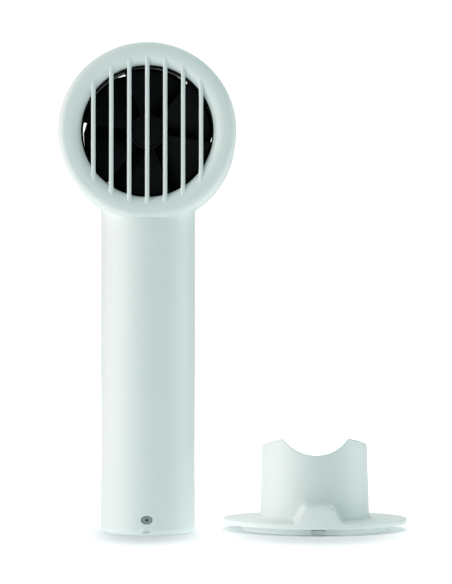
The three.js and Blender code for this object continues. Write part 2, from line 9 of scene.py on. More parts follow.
import bmesh
import bpy
import numpy as np
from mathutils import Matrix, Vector

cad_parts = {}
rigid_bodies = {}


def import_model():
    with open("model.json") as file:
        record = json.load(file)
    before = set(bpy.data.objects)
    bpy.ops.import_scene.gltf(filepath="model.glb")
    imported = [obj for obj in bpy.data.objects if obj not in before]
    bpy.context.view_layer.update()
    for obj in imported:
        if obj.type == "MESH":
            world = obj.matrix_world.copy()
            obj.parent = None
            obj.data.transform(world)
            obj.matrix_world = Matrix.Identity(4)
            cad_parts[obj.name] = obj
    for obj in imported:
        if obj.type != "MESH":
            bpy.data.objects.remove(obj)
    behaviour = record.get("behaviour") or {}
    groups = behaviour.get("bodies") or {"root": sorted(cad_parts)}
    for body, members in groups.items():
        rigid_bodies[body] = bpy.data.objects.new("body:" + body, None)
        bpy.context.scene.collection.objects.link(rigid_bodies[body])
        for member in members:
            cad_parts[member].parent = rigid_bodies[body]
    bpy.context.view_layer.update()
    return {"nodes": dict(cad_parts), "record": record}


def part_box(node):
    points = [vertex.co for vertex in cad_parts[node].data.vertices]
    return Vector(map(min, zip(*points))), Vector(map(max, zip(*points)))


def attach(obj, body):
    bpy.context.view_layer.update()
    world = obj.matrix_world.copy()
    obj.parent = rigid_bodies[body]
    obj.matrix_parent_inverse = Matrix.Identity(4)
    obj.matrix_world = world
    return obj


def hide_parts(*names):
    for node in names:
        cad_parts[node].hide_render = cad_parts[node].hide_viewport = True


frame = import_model()

MM = 0.001
TAU = 2 * np.pi


def box_mm(node):
    """Lowest and highest corner of a CAD node, in millimetres."""
    low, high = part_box(node)
    return np.array(low) / MM, np.array(high) / MM


# Driving dimensions that the frame gives.
cover_low, cover_high = box_mm("front_grille")
plate_low, plate_high = box_mm("stand_body")
HEAD_RADIUS = (cover_high[0] - cover_low[0]) / 2
HEAD_CENTRE = (cover_low[2] + cover_high[2]) / 2
HEAD_DEPTH = -cover_low[1]
PLATE_RADIUS = (plate_high[0] - plate_low[0]) / 2
STAND_X = (plate_low[0] + plate_high[0]) / 2
STAND_Y = (plate_low[1] + plate_high[1]) / 2

# Driving dimensions of the fan's casing. MOUTH and INTAKE_LIP are the radii of the curve into each opening
# and MOUTH_END the angle at which the mouth's stops; SNAP_RING is the radius and depth of the ring that each
# cover puts into the drum; CAP_SCREW is a screw's place across and to the rear.
HANDLE_RADIUS = 19.65
HANDLE_WALL = 1.8
FOOT_FILLET = 3.0
DRUM_WALL = 2.0
RIM_FILLET = 3.0
COVER_JOINT = 17.3
SEAM = 0.05
APERTURE_RADIUS = 27.4
MOUTH = (5.2, 4.6)
MOUTH_END = 165
INTAKE_RADIUS = 31.2
INTAKE_LIP = (2.0, 3.2)
BAR_PITCH = 7.41
BAR_WIDTH = 1.73
CLEARANCE = 0.3
SOCKET_HEIGHT = 6.6
SOCKET_HOLE = (2.37, 1.77)
BUTTON_HEIGHT = 112.0
BUTTON_RADIUS = 5.8
LENS_HEIGHT = 102.0
LENS_RADIUS = 1.3
SNAP_RING = (34.5, 15.0)
CAP_RADIUS = 16.2
CAP_THICKNESS = 1.8
CAP_SCREW = (12.6, 3.4)

# Driving dimensions of the impeller and what stands behind it. BLADE_SPAN is the angle that a blade winds
# through, along most of it and at its tip.
BLADES = 6
BLADE_TIP = 27.0
HUB_RADIUS = 7.4
BLADE_FRONT = -10.4
BLADE_REAR = -2.6
BLADE_THICKNESS = 1.1
BLADE_SPAN = (64.5, 53.0)
BLADE_EDGE_ANGLE = 51.5
SHAFT_HOLE = 1.06
MOTOR_RADIUS = 12.25
MOTOR_SCREW_OFFSET = 8.5

# Driving dimensions of the stand, about its own upright axis. FOOT_RING is the ring's inner and outer radius
# and SEAT the radius and height of the raised seat. The crown's and scoop's pairs are in front and behind.
PLATE_BOTTOM = 2.8
PLATE_TOP = 5.0
FOOT_RING = (28.9, 30.9)
COLLAR_FOOT = 23.2
COLLAR_TOP = 22.35
COLLAR_BORE = 20.0
CROWN_RADIUS = 90.0
CROWN_HEIGHTS = (40.8, 37.4)
SCOOP_RADII = (15.6, 17.07)
SCOOP_CENTRES = (48.2, 42.45)
SCOOP_OFFSET = -0.4
HOOD_HALF_BASE = 8.9
HOOD_HALF_TOP = 6.4
HOOD_HEIGHT = 11.3
HOOD_WALL = 1.6
HOOD_SHOULDER = 4.6
HOOD_FLARE = 4.4
CABLE_NOTCH = 5.6
SEAT = (19.4, 2.0)
STAND_SCREW_RADIUS = 25.0
STAND_SCREW_ANGLES = (90, 210, 330)

# How brightly the floor glows on what stands on it, how bright it looks clear of a foot, and its painted
# shadow beside one.
FLOOR_GLOW = 0.4
FLOOR_CLEAR = 0.46
# The glow beside a foot is dimmed to this as a painted contact shadow.
FLOOR_PAINTED_SHADOW = 0.03

# Columns round a turned piece, by size.
FINE = 192
MIDDLE = 96
COARSE = 48


# ---------------------------------------------------------------- outlines and surfaces


def ease(value, low, high):
    """0 below low, 1 above high, and a smooth S between them."""
    t = np.clip((value - low) / (high - low), 0, 1)
    return t * t * (3 - 2 * t)


def grid_of(x, y, z):
    """Points from three coordinate grids, each spread to the shape of the largest."""
    return np.stack(np.broadcast_arrays(x, y, z), -1)


def nearest(values, wanted):
    """Index of the value closest to the wanted one."""
    return int(np.argmin(np.abs(values - wanted)))


def rounded(corners, closed=False, steps=8):
    """An outline through corners (a, b, radius): straight runs, joined by an arc tangent to both."""
    places = [np.array(corner[:2], float) for corner in corners]
    outline = []
    for i, corner in enumerate(corners):
        radius = corner[2] if len(corner) > 2 else 0
        if radius == 0 or (not closed and i in (0, len(corners) - 1)):
            outline.append(places[i])
            continue
        before = places[i - 1] - places[i]
        after = places[(i + 1) % len(corners)] - places[i]
        before = before / np.linalg.norm(before)
        after = after / np.linalg.norm(after)
        half = np.arccos(np.clip(before @ after, -1, 1)) / 2
        middle = (before + after) / np.linalg.norm(before + after)
        centre = places[i] + middle * radius / np.sin(half)
        start = places[i] + before * radius / np.tan(half) - centre
        end = places[i] + after * radius / np.tan(half) - centre
        turn = np.pi - 2 * half
        t = np.linspace(0, 1, steps + 1)[:, None]
        outline.extend(centre + (np.sin((1 - t) * turn) * start + np.sin(t * turn) * end) / np.sin(turn))
    return np.array(outline)


def quarter(centre, radii, start, end, steps=16):
    """A stretch of an ellipse, from one angle to another in degrees, as (a, b) rows."""
    angle = np.radians(np.linspace(start, end, steps + 1))
    return np.stack([centre[0] + radii[0] * np.cos(angle), centre[1] + radii[1] * np.sin(angle)], 1)


def skin(points, wrap_u=False, wrap_v=False, keep=None):
    """Quads over a grid of points; a wrapped direction joins its last row to its first."""
    rows, columns = points.shape[:2]
    index = np.arange(rows * columns).reshape(rows, columns)
    if wrap_u:
        index = np.vstack([index, index[:1]])
    if wrap_v:
        index = np.hstack([index, index[:, :1]])
    quads = np.stack([index[:-1, :-1], index[1:, :-1], index[1:, 1:], index[:-1, 1:]], -1)
    quads = quads[keep] if keep is not None else quads.reshape(-1, 4)
    return points.reshape(-1, 3), quads


def turned(profile, x=0, z=HEAD_CENTRE, columns=FINE, closed=False):
    """A profile of (radius, depth) rows carried in a circle round an axis along Y, at x and z."""
    angle = np.linspace(0, TAU, columns, endpoint=False)[:, None]
    radius, depth = profile[None, :, 0], profile[None, :, 1]
    points = grid_of(x + radius * np.sin(angle), depth, z + radius * np.cos(angle))
    return skin(points, wrap_u=True, wrap_v=closed)


def carried(outline, stations, place):
    """A closed outline of (a, b) rows carried along stations (distance, scale), with a pole at each end.

    place(a, b, distance) gives the point in space.
    """
    middle = outline.mean(0)
    rows = []
    for distance, scale in [(stations[0][0], 0), *stations, (stations[-1][0], 0)]:
        a, b = (middle + (outline - middle) * scale).T
        rows.append(np.stack(place(a, b, np.full(len(outline), distance)), -1))
    return skin(np.array(rows), wrap_v=True)


def strand(route, radius, across, columns=12, steps=8):
    """A round wire: a circle carried along a smooth curve through the route's points.

    Between two points the curve is the cubic that runs, at each of them, along the line between its two
    neighbours. across is a direction that the curve never takes.
    """
    route = np.array(route, float)
    ends = np.vstack([2 * route[0] - route[1], route, 2 * route[-1] - route[-2]])
    t = np.linspace(0, 1, steps, endpoint=False)[:, None]
    spans = []
    for a, b, c, d in zip(ends[:-3], ends[1:-2], ends[2:-1], ends[3:]):
        second = (2 * a - 5 * b + 4 * c - d) * t**2
        third = (3 * b - a - 3 * c + d) * t**3
        spans.append((2 * b + (c - a) * t + second + third) / 2)
    line = np.vstack([*spans, route[-1:]])
    ahead = np.gradient(line, axis=0)
    ahead /= np.linalg.norm(ahead, axis=1)[:, None]
    side = np.cross(ahead, np.array(across, float))
    side /= np.linalg.norm(side, axis=1)[:, None]
    up = np.cross(side, ahead)
    angle = np.linspace(0, TAU, columns, endpoint=False)[None, :, None]
    ring = line[:, None] + radius * (side[:, None] * np.cos(angle) + up[:, None] * np.sin(angle))
    caps = [np.repeat(line[i][None, None], columns, 1) for i in (0, -1)]
    return skin(np.vstack([caps[0], ring, caps[1]]), wrap_v=True)


def opening(face, outer_loop, inner_loop, centre, radii, profile, power=2.0, blend=5):
    """A hole's wall: a profile of (widening, depth) rows carried round an oval, joined to a sheet's faces.

    face(a, b, depth) gives the point in space; the loops are the closed edges, in a and b, of the window
    that the sheet leaves on its two sides. Rows between a loop and the profile run straight in a and b.
    power is 2 for an ellipse, and more for a squarer oval.
    """
    spoke = (outer_loop - centre) / radii
    angle = np.arctan2(spoke[:, 1], spoke[:, 0])
    round_unit = np.stack([np.cos(angle), np.sin(angle)], 1)
    unit = np.sign(round_unit) * np.abs(round_unit) ** (2 / power)
    loops = [(centre + unit * radii + round_unit * widening, depth) for widening, depth in profile]
    rows = []
    for step in np.linspace(0, 1, blend, endpoint=False):
        rows.append(face(*(outer_loop + (loops[0][0] - outer_loop) * step).T, loops[0][1]))
    rows.extend(face(*loop.T, depth) for loop, depth in loops)
    for step in np.linspace(0, 1, blend + 1)[1:]:
        rows.append(face(*(loops[-1][0] + (inner_loop - loops[-1][0]) * step).T, loops[-1][1]))
    return skin(np.array(rows), wrap_v=True)


def rim_of(window):
    """The closed edge of a rectangle of grid points, walked round once."""
    return np.concatenate([window[:-1, 0], window[-1, :-1], window[:0:-1, -1], window[0, :0:-1]])


def thick_sheet(outer, inner, plane, wrap=False, pole=False, holes=()):
    """A sheet of two grids with the same rows, closed round its edges, with holes through it.

    plane(points) gives the (a, b) of grid points, and each hole is (rows, columns, maker), where maker
    takes the window's outer and inner edge in a and b and gives the hole's wall.
    """
    keep = np.ones((outer.shape[0] - (0 if wrap else 1), outer.shape[1] - 1), bool)
    walls = []
    for rows, columns, maker in holes:
        keep[rows[0]:rows[1], columns[0]:columns[1]] = False
        window = (slice(rows[0], rows[1] + 1), slice(columns[0], columns[1] + 1))
        walls.append(maker(plane(rim_of(outer[window])), plane(rim_of(inner[window]))))
    faces = [skin(outer, wrap_u=wrap, keep=keep), skin(inner, wrap_u=wrap, keep=keep)]
    edges = [np.stack([outer[:, -1], inner[:, -1]], 1)]
    if not pole:
        edges.append(np.stack([outer[:, 0], inner[:, 0]], 1))
    closing = [skin(edge, wrap_u=wrap) for edge in edges]
    if not wrap:
        closing += [skin(np.stack([outer[i], inner[i]], 1)) for i in (0, -1)]
    return merged([*faces, *closing, *walls])


def merged(skins):
    """Several skins as one set of points and quads."""
    starts = np.cumsum([0, *[len(points) for points, _ in skins[:-1]]])
    return np.vstack([s[0] for s in skins]), np.vstack([s[1] + start for s, start in zip(skins, starts)])


# ---------------------------------------------------------------- materials


def linear(code):
    """An sRGB hex colour as linear red, green, blue and 1."""
    values = np.array([int(code[i:i + 2], 16) for i in (1, 3, 5)]) / 255
    low = values / 12.92
    high = ((values + 0.055) / 1.055) ** 2.4
    return (*np.where(values <= 0.04045, low, high), 1.0)


def add(tree, kind, settings=None, **sockets):
    """Adds a node, sets its properties, and sets or links its input sockets by name, or by number as in _6.

    A colour mix has its two colours at inputs 6 and 7, and its result at output 2.
    """
    made = tree.nodes.new(kind)
    for key, value in (settings or {}).items():
        setattr(made, key, value)
    for key, value in sockets.items():
        socket = made.inputs[int(key[1:]) if key[0] == "_" else key.replace("_", " ")]
        if isinstance(value, bpy.types.NodeSocket):
            tree.links.new(value, socket)
        else:
            socket.default_value = value
    return made


def blank(name):
    """A new material, its empty node tree, and the place on the piece at which its patterns are read."""
    look = bpy.data.materials.new(name)
    look.use_nodes = True
    look.node_tree.nodes.clear()
    return look, look.node_tree, add(look.node_tree, "ShaderNodeTexCoord").outputs["Object"]


def moulded(name, dark, light, roughness, grain, relief, mottle=12.0, gloss=0.5):
    """Moulded plastic: a slow mottle between two near tones, and the fine spark-eroded grain of its mould.

    grain is the grain's size in millimetres, relief its height as the bump node's strength, mottle the
    size of the slow tone changes in millimetres, gloss the shader's specular level.
    """
    look, tree, where = blank(name)
    slow = add(tree, "ShaderNodeTexNoise", Vector=where, Scale=1 / (mottle * MM), Detail=3.0)
    fine = add(tree, "ShaderNodeTexNoise", Vector=where, Scale=1 / (grain * MM), Detail=2.0).outputs["Fac"]
    tone = add(
        tree,
        "ShaderNodeMix",
        {"data_type": "RGBA"},
        Factor=slow.outputs["Fac"],
        _6=linear(dark),
        _7=linear(light),
    )
    rough = add(tree, "ShaderNodeMapRange", Value=fine, To_Min=roughness - 0.05, To_Max=roughness + 0.07)
    bump = add(tree, "ShaderNodeBump", Height=fine, Strength=relief, Distance=grain * MM * 0.2)
    shader = add(
        tree,
        "ShaderNodeBsdfPrincipled",
        Base_Color=tone.outputs[2],
        Roughness=rough.outputs["Result"],
        Normal=bump.outputs["Normal"],
        Specular_IOR_Level=gloss,
        IOR=1.53,
    )
    add(tree, "ShaderNodeOutputMaterial", Surface=shader.outputs["BSDF"])
    return look


def metal(name, dark, light, roughness, grain):
    """Plain metal: a fine unevenness of tone and surface that breaks up its reflections."""
    look, tree, where = blank(name)
    fine = add(tree, "ShaderNodeTexNoise", Vector=where, Scale=1 / (grain * MM), Detail=4.0).outputs["Fac"]
    tone = add(tree, "ShaderNodeMix", {"data_type": "RGBA"}, Factor=fine, _6=linear(dark), _7=linear(light))
    rough = add(tree, "ShaderNodeMapRange", Value=fine, To_Min=roughness - 0.06, To_Max=roughness + 0.1)
    bump = add(tree, "ShaderNodeBump", Height=fine, Strength=0.15, Distance=grain * MM * 0.1)
    shader = add(
        tree,
        "ShaderNodeBsdfPrincipled",
        Base_Color=tone.outputs[2],
        Metallic=1.0,
        Roughness=rough.outputs["Result"],
        Normal=bump.outputs["Normal"],
    )
    add(tree, "ShaderNodeOutputMaterial", Surface=shader.outputs["BSDF"])
    return look


# White ABS from a spark-eroded mould: an even, soft, cool white with a very fine grain and a broad dull
# highlight. The real grain is near 0.05 mm; it is drawn at 0.4 mm, the finest that shows.
white_abs = moulded("moulded_white_abs", "#dbe6e3", "#e3ecea", 0.44, 0.4, 0.1, 25.0, 0.5)
# Black polypropylene, satin moulded: almost no light comes back but a soft grey sheen on edges and rounds.
black_pp = moulded("moulded_black_polypropylene", "#05070a", "#090b0e", 0.5, 0.5, 0.1, 9.0, 0.12)
# Grey glass-filled nylon of the charging inlet: dull, slightly speckled blue-grey.
grey_nylon = moulded("moulded_grey_nylon", "#86989a", "#93a5a5", 0.5, 0.3, 0.2, 1.5)
# Natural nylon of the motor's end cap and the switch plunger: warm, waxy white.
natural_nylon = moulded("moulded_natural_nylon", "#d4d3c8", "#e2e1d8", 0.45, 0.4, 0.1, 3.0)
# Sintered ferrite magnet: dark, dull, gritty ceramic.
ferrite = moulded("sintered_ferrite", "#2b2d30", "#404246", 0.75, 0.25, 0.4, 1.2, 0.3)
# Heat-shrunk PVC sleeve on the cell: glossy and slightly rippled.
pvc_sleeve = moulded("shrunk_pvc_sleeve", "#2a689a", "#3a7aab", 0.3, 2.5, 0.25, 8.0)
# Open-cell polyurethane foam: black, with coarse cells that take all gloss away.
foam = moulded("polyurethane_foam", "#1c1d1f", "#343538", 0.92, 0.6, 0.8, 0.9, 0.1)
# Green solder mask over glass-epoxy board: a lacquer with the weave faintly showing.
solder_mask = moulded("solder_masked_board", "#174a2e", "#226340", 0.35, 0.8, 0.15, 2.0)
# PVC wire insulation, red and black: smooth, slightly uneven gloss.
red_pvc = moulded("red_pvc_insulation", "#9c1a1a", "#bb2624", 0.38, 0.6, 0.1, 2.0)
black_pvc = moulded("black_pvc_insulation", "#131416", "#1d1e20", 0.38, 0.6, 0.1, 2.0)
# Zinc-plated steel of screws, shaft and motor can: cool, dull-bright.
zinc_steel = metal("zinc_plated_steel", "#9a9da0", "#b9bcbe", 0.34, 0.8)
# Nickel-plated strip of terminals and cell tabs: warmer and brighter than zinc.
nickel = metal("nickel_plated_strip", "#b1ada4", "#cac6bd", 0.28, 0.6)
# Sintered bronze bush: brown, with dark pores.
bronze = metal("sintered_bronze", "#7a5230", "#a97a48", 0.5, 0.25)
# Enamelled copper windings and the commutator's bars.
copper = metal("enamelled_copper", "#9c5630", "#c27a4a", 0.33, 0.35)


def clear_acrylic():
    """Clear moulded acrylic of the charge light's lens: water-clear, faintly frosted for an even glow."""
    look, tree, where = blank("moulded_clear_acrylic")
    haze = add(tree, "ShaderNodeTexNoise", Vector=where, Scale=1 / (0.6 * MM), Detail=2.0)
    rough = add(tree, "ShaderNodeMapRange", Value=haze.outputs["Fac"], To_Min=0.12, To_Max=0.3)
    shader = add(
        tree,
        "ShaderNodeBsdfPrincipled",
        Base_Color=linear("#e9f0ee"),
        Roughness=rough.outputs["Result"],
        Transmission_Weight=0.85,
        IOR=1.49,
    )
    add(tree, "ShaderNodeOutputMaterial", Surface=shader.outputs["BSDF"])
    return look


acrylic = clear_acrylic()
LOOKS = {
    "white_abs": white_abs,
    "black_plastic": black_pp,
    "grey_plastic": grey_nylon,
    "white_nylon": natural_nylon,
    "clear_lens": acrylic,
    "steel": zinc_steel,
    "nickel": nickel,
    "bronze": bronze,
    "copper": copper,
    "ferrite": ferrite,
    "cell_sleeve": pvc_sleeve,
    "foam": foam,
    "board": solder_mask,
    "red_wire": red_pvc,
    "black_wire": black_pvc,
}


def fan_piece(node, skins, slot, body="housing", crease=35):
    """A mesh piece from closed skins that stands for a CAD node, rides on its body and has its slot's look.

    It is welded, faces outwards, and is smooth apart from creases sharper than crease, in degrees.
    """
    name = node + "_skin"
    points, quads = merged(skins)
    mesh = bpy.data.meshes.new(name)
    mesh.vertices.add(len(points))
    mesh.vertices.foreach_set("co", (points * MM).astype(np.float32).ravel())
    mesh.loops.add(quads.size)
    mesh.loops.foreach_set("vertex_index", quads.astype(np.int32).ravel())
    mesh.polygons.add(len(quads))
    mesh.polygons.foreach_set("loop_start", np.arange(0, quads.size, 4, dtype=np.int32))
    mesh.update(calc_edges=True)
    weld = bmesh.new()
    weld.from_mesh(mesh)
    bmesh.ops.remove_doubles(weld, verts=weld.verts, dist=2e-6)
    bmesh.ops.dissolve_degenerate(weld, edges=weld.edges, dist=1e-7)
    bmesh.ops.recalc_face_normals(weld, faces=weld.faces)
    weld.to_mesh(mesh)
    weld.free()
    mesh.polygons.foreach_set("use_smooth", np.ones(len(mesh.polygons), bool))
    mesh.set_sharp_from_angle(angle=radians(crease))
    mesh.materials.append(LOOKS[slot])
    made = bpy.data.objects.new(name, mesh)
    bpy.context.scene.collection.objects.link(made)
    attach(made, body)
    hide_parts(node)


# ---------------------------------------------------------------- the fan's casing


def casing_depth(distance):
    """Radius about the head's axis at which the handle's wall ends, by its distance in front of that axis.

    Up to the cover joint it runs 1 mm into the drum; past it, it stops short of the cover's round edge.
    """
    fillet_start = HEAD_DEPTH - RIM_FILLET
    rounding = np.sqrt(np.clip(RIM_FILLET**2 - np.clip(distance - fillet_start, 0, None) ** 2, 0, None))
    cover = HEAD_RADIUS - RIM_FILLET + rounding + SEAM
    overlap = 1.0
    return np.where(distance > COVER_JOINT - 0.4, cover, HEAD_RADIUS - overlap)


def handle_half(facing):
    """Half of the round handle: a circle's half carried up from its rounded foot to the drum's underside.

    facing is -1 for the front half and 1 for the rear half. The outer face widens by a small fillet where
    it meets the drum, its long edges dip in a quarter circle to the seam, and the front foot has a
    thumbnail notch. Each hole is (reach of its window, rows in it, height, radii, rounding of its edge).
    """
    straight_end = 125.0
    climb = 10.0
    seam_dip = 0.24
    drum_fillet = 0.9
    if facing < 0:
        holes = [(3.4, 34, SOCKET_HEIGHT, SOCKET_HOLE, 0.2)]
        spacing = 0.1
    else:
        holes = [
            (7.4, 60, BUTTON_HEIGHT, (BUTTON_RADIUS + CLEARANCE,) * 2, 0.3),
            (2.2, 22, LENS_HEIGHT, (LENS_RADIUS + CLEARANCE,) * 2, 0.2),
        ]
        spacing = 0.2
    half_turn = np.pi / 2 - (SEAM / 2) / HANDLE_RADIUS
    widest = holes[0][0]
    middle = np.arcsin(np.arange(-widest, widest + spacing / 2, spacing) / HANDLE_RADIUS)
    ends = half_turn - np.array([seam_dip, 0.14, 0.06, 0]) / HANDLE_RADIUS
    outside = np.linspace(middle[-1], ends[0], 90)[1:-1]
    theta = np.concatenate([-ends[::-1], -outside[::-1], middle, outside, ends])
    from_seam = (half_turn - np.abs(theta)) * HANDLE_RADIUS
    dip = seam_dip - np.sqrt(np.clip(seam_dip**2 - np.clip(seam_dip - from_seam, 0, None) ** 2, 0, None))
    level = np.unique(np.round(np.concatenate([
        np.linspace(0, FOOT_FILLET, 23),
        [FOOT_FILLET + 0.1, 16, 24, 36, 48, 60, 72, 84, 94, 120, straight_end],
        straight_end + climb * np.linspace(0, 1, 9),
        straight_end + climb * (1 - np.geomspace(0.1, 0.004, 14)),
        *[np.linspace(z - reach, z + reach, rows + 1) for reach, rows, z, _, _ in holes],
    ]), 6))
    angle, height = np.meshgrid(theta, level, indexing="ij")

    def wall(radius, outward):
        x = radius * np.sin(angle)
        y = radius * np.cos(angle)
        top = HEAD_CENTRE - np.sqrt(casing_depth(y) ** 2 - x**2)
        share = np.clip((height - straight_end) / climb, 0, 1)
        foot = np.clip(height / FOOT_FILLET, 0, 1) * np.pi / 2
        z = np.where(share > 0, straight_end + (top - straight_end) * share, height)
        z = np.where(height < FOOT_FILLET, FOOT_FILLET * (1 - np.cos(foot)), z)
        if outward:
            below = HEAD_CENTRE - np.sqrt(HEAD_RADIUS**2 - x**2) - z
            near = np.clip(drum_fillet - np.clip(below, 0, None), 0, drum_fillet)
            flare = drum_fillet - np.sqrt(drum_fillet**2 - near**2)
            grown = -FOOT_FILLET * (1 - np.sin(foot)) - dip[:, None]
            grown = grown + flare * (1 - ease(y, 13.0, 16.2)) - notch_depth(x, z, facing)
            radius = radius + grown
        else:
            radius = np.where(height <= FOOT_FILLET, CAP_RADIUS + CLEARANCE, radius)
        return grid_of(radius * np.sin(angle), facing * radius * np.cos(angle), z)

    def face(x, z, depth):
        radius = HANDLE_RADIUS - depth
        return np.stack([x, facing * np.sqrt(radius**2 - x**2), z], -1)

    def hole(reach, z, radii, rounding):
        side = np.arcsin(reach / HANDLE_RADIUS)
        rows = nearest(theta, -side), nearest(theta, side)
        columns = nearest(level, z - reach), nearest(level, z + reach)
        turns = np.radians(np.linspace(0, 90, 7))
        profile = [(rounding * (1 - np.sin(a)), rounding * (1 - np.cos(a))) for a in turns]
        profile += [(0, 1.0), (0, HANDLE_WALL)]

        def maker(outer_loop, inner_loop):
            return opening(face, outer_loop, inner_loop, np.array([0, z]), np.array(radii), profile)

        return rows, columns, maker

    makers = [hole(reach, z, radii, rounding) for reach, _, z, radii, rounding in holes]
    outer = wall(HANDLE_RADIUS, True)
    inner = wall(HANDLE_RADIUS - HANDLE_WALL, False)
    return thick_sheet(outer, inner, lambda points: points[:, [0, 2]], holes=makers)


def notch_depth(x, z, facing):
    """A thumbnail notch in the front of the foot: an oval's arched upper part, fading out below."""
    if facing > 0:
        return np.zeros_like(x)
    half_width, half_height, middle, deepest = 1.6, 1.4, 1.25, 1.1
    reach = np.sqrt((x / half_width) ** 2 + ((z - middle) / half_height) ** 2)
    arch = 1 - ease(reach, 0.84, 1.0)
    return deepest * arch * ease(z, 0.9, 1.9)


def drum_half(facing):
    """Half of the drum behind its cover: a band with eased edges, turned round the head's axis."""
    seam = SEAM / 2
    lip = 0.12
    profile = rounded(
        [
            (HEAD_RADIUS, seam, lip),
            (HEAD_RADIUS, COVER_JOINT - SEAM, lip),
            (HEAD_RADIUS - DRUM_WALL, COVER_JOINT - SEAM, lip),
            (HEAD_RADIUS - DRUM_WALL, seam, lip),
        ],
        closed=True,
        steps=4,
    )
    return turned(profile * (1, facing), closed=True)


def cell_ribs(facing):
    """Shelf and steadying rings for the cell, each as three stretches of a half ring, with room for wires.

    Each stretch is a rounded section carried round part of a circle.
    """
    outer = 17.95
    thick = 1.6
    ahead = np.pi / 2
    notch = np.radians(38)
    gap = 0.26
    stretches = (
        (0.02, ahead - notch),
        (ahead - notch + gap, ahead + notch - gap),
        (ahead + notch, np.pi - 0.02),
    )

    def place(radius, level, angle):
        return radius * np.cos(angle), facing * radius * np.sin(angle), level

    skins = []
    for hole, z in ((5.0, 10.7), (9.7, 32.0), (9.7, 70.0)):
        corners = [(hole, z, 0.2), (outer, z, 0.1), (outer, z + thick, 0.1), (hole, z + thick, 0.2)]
        section = rounded(corners, closed=True, steps=3)
        for low, high in stretches:
            skins.append(carried(section, [(angle, 1) for angle in np.linspace(low, high, 24)], place))
    return skins


def front_shell():
    """The casing's front half: handle, drum and the cell's ribs in one moulding."""
    fan_piece("front_shell", [handle_half(-1), drum_half(-1), *cell_ribs(-1)], "white_abs")


def rear_shell():
    """The casing's rear half, with the holes for the button and the charge light."""
    fan_piece("rear_shell", [handle_half(1), drum_half(1), *cell_ribs(1)], "white_abs")


def grille_bars(count, reach, face, back, root):
    """Upright bars: a half-round nose on straight flanks, carried up across the opening.

    Each widens a little towards its two roots and ends as a point inside the cover's rim. face and back
    are the bars' depths, negative in front. root is the radius at which the widening starts.
    """
    half = BAR_WIDTH / 2
    cut = 0.3
    rear = abs(back)
    nose = quarter((0, abs(face) - half), (half, half), 180, 0, 16)
    heel = [(half, rear + cut), (half - cut, rear), (cut - half, rear), (-half, rear + cut)]
    section = np.vstack([nose, heel])
    share = np.concatenate([
        np.linspace(-1, -0.72, 24),
        np.linspace(-0.7, 0.7, 13),
        np.linspace(0.72, 1, 24),
    ])
    skins = []
    for number in range(count):
        x = (number - (count - 1) / 2) * BAR_PITCH
        along = np.sqrt(reach**2 - x**2) * share
        width = 1 + 0.2 * ease(np.sqrt(along**2 + x**2), root, root + 2.2)
        across = x + section[:, 0] * width[:, None]
        rows = grid_of(across, np.sign(face) * section[:, 1], HEAD_CENTRE + along[:, None])
        ends = [np.repeat(rows[i].mean(0)[None, None], len(section), 1) for i in (0, -1)]
        skins.append(skin(np.vstack([ends[0], rows, ends[1]]), wrap_v=True))
    return skins


def cover_profile(*inside):
    """Either cover's outline: its round outer edge, then what is given, then its ring inside the drum."""
    corner = (HEAD_RADIUS - RIM_FILLET, HEAD_DEPTH - RIM_FILLET)
    joint = COVER_JOINT + SEAM
    *bends, inner = inside
    snap = [
        (SNAP_RING[0], SNAP_RING[1], 0.3),
        (SNAP_RING[0], joint, 0.1),
        (HEAD_RADIUS - 0.2, joint),
    ]
    return np.vstack([
        [(HEAD_RADIUS, joint)],
        quarter(corner, (RIM_FILLET, RIM_FILLET), 4, 90, 18),
        *bends,
        rounded([*inner, *snap], steps=4),
    ])


def front_grille():
    """The front cover: a rim with a round edge, a mouth that curves in to the opening, and seven bars."""
    shoulder = APERTURE_RADIUS - MOUTH[0] * np.cos(radians(MOUTH_END))
    start = HEAD_DEPTH - MOUTH[1]
    profile = cover_profile(
        [(HEAD_RADIUS - RIM_FILLET - 0.4, HEAD_DEPTH), (shoulder + 0.3, HEAD_DEPTH)],
        quarter((shoulder, start), MOUTH, 90, MOUTH_END, 36),
        [
            (APERTURE_RADIUS + 0.02, start + 1.1),
            (APERTURE_RADIUS + 0.15, 14.0, 0.3),
            (APERTURE_RADIUS + 1.8, 14.0, 0.4),
            (30.6, 17.2, 0.6),
            (32.6, 18.3, 0.3),
            (32.6, SNAP_RING[1], 0.2),
        ],
    )
    bars = grille_bars(7, 31.3, -HEAD_DEPTH + 0.2, -16.6, 26.6)
    fan_piece("front_grille", [turned(profile * (1, -1), closed=True), *bars], "white_abs")


def rear_grille():
    """The rear cover: a rim with a wider opening, and nine bars."""
    start = HEAD_DEPTH - INTAKE_LIP[1]
    profile = cover_profile(
        quarter((INTAKE_RADIUS + INTAKE_LIP[0], start), INTAKE_LIP, 90, 180, 18),
        [
            (INTAKE_RADIUS, start - 0.05),
            (32.9, start - 0.05, 0.2),
            (32.9, SNAP_RING[1], 0.2),
        ],
    )
    bars = grille_bars(9, 32.6, HEAD_DEPTH - 0.2, 17.8, 30.6)
    fan_piece("rear_grille", [turned(profile, closed=True), *bars], "white_abs")


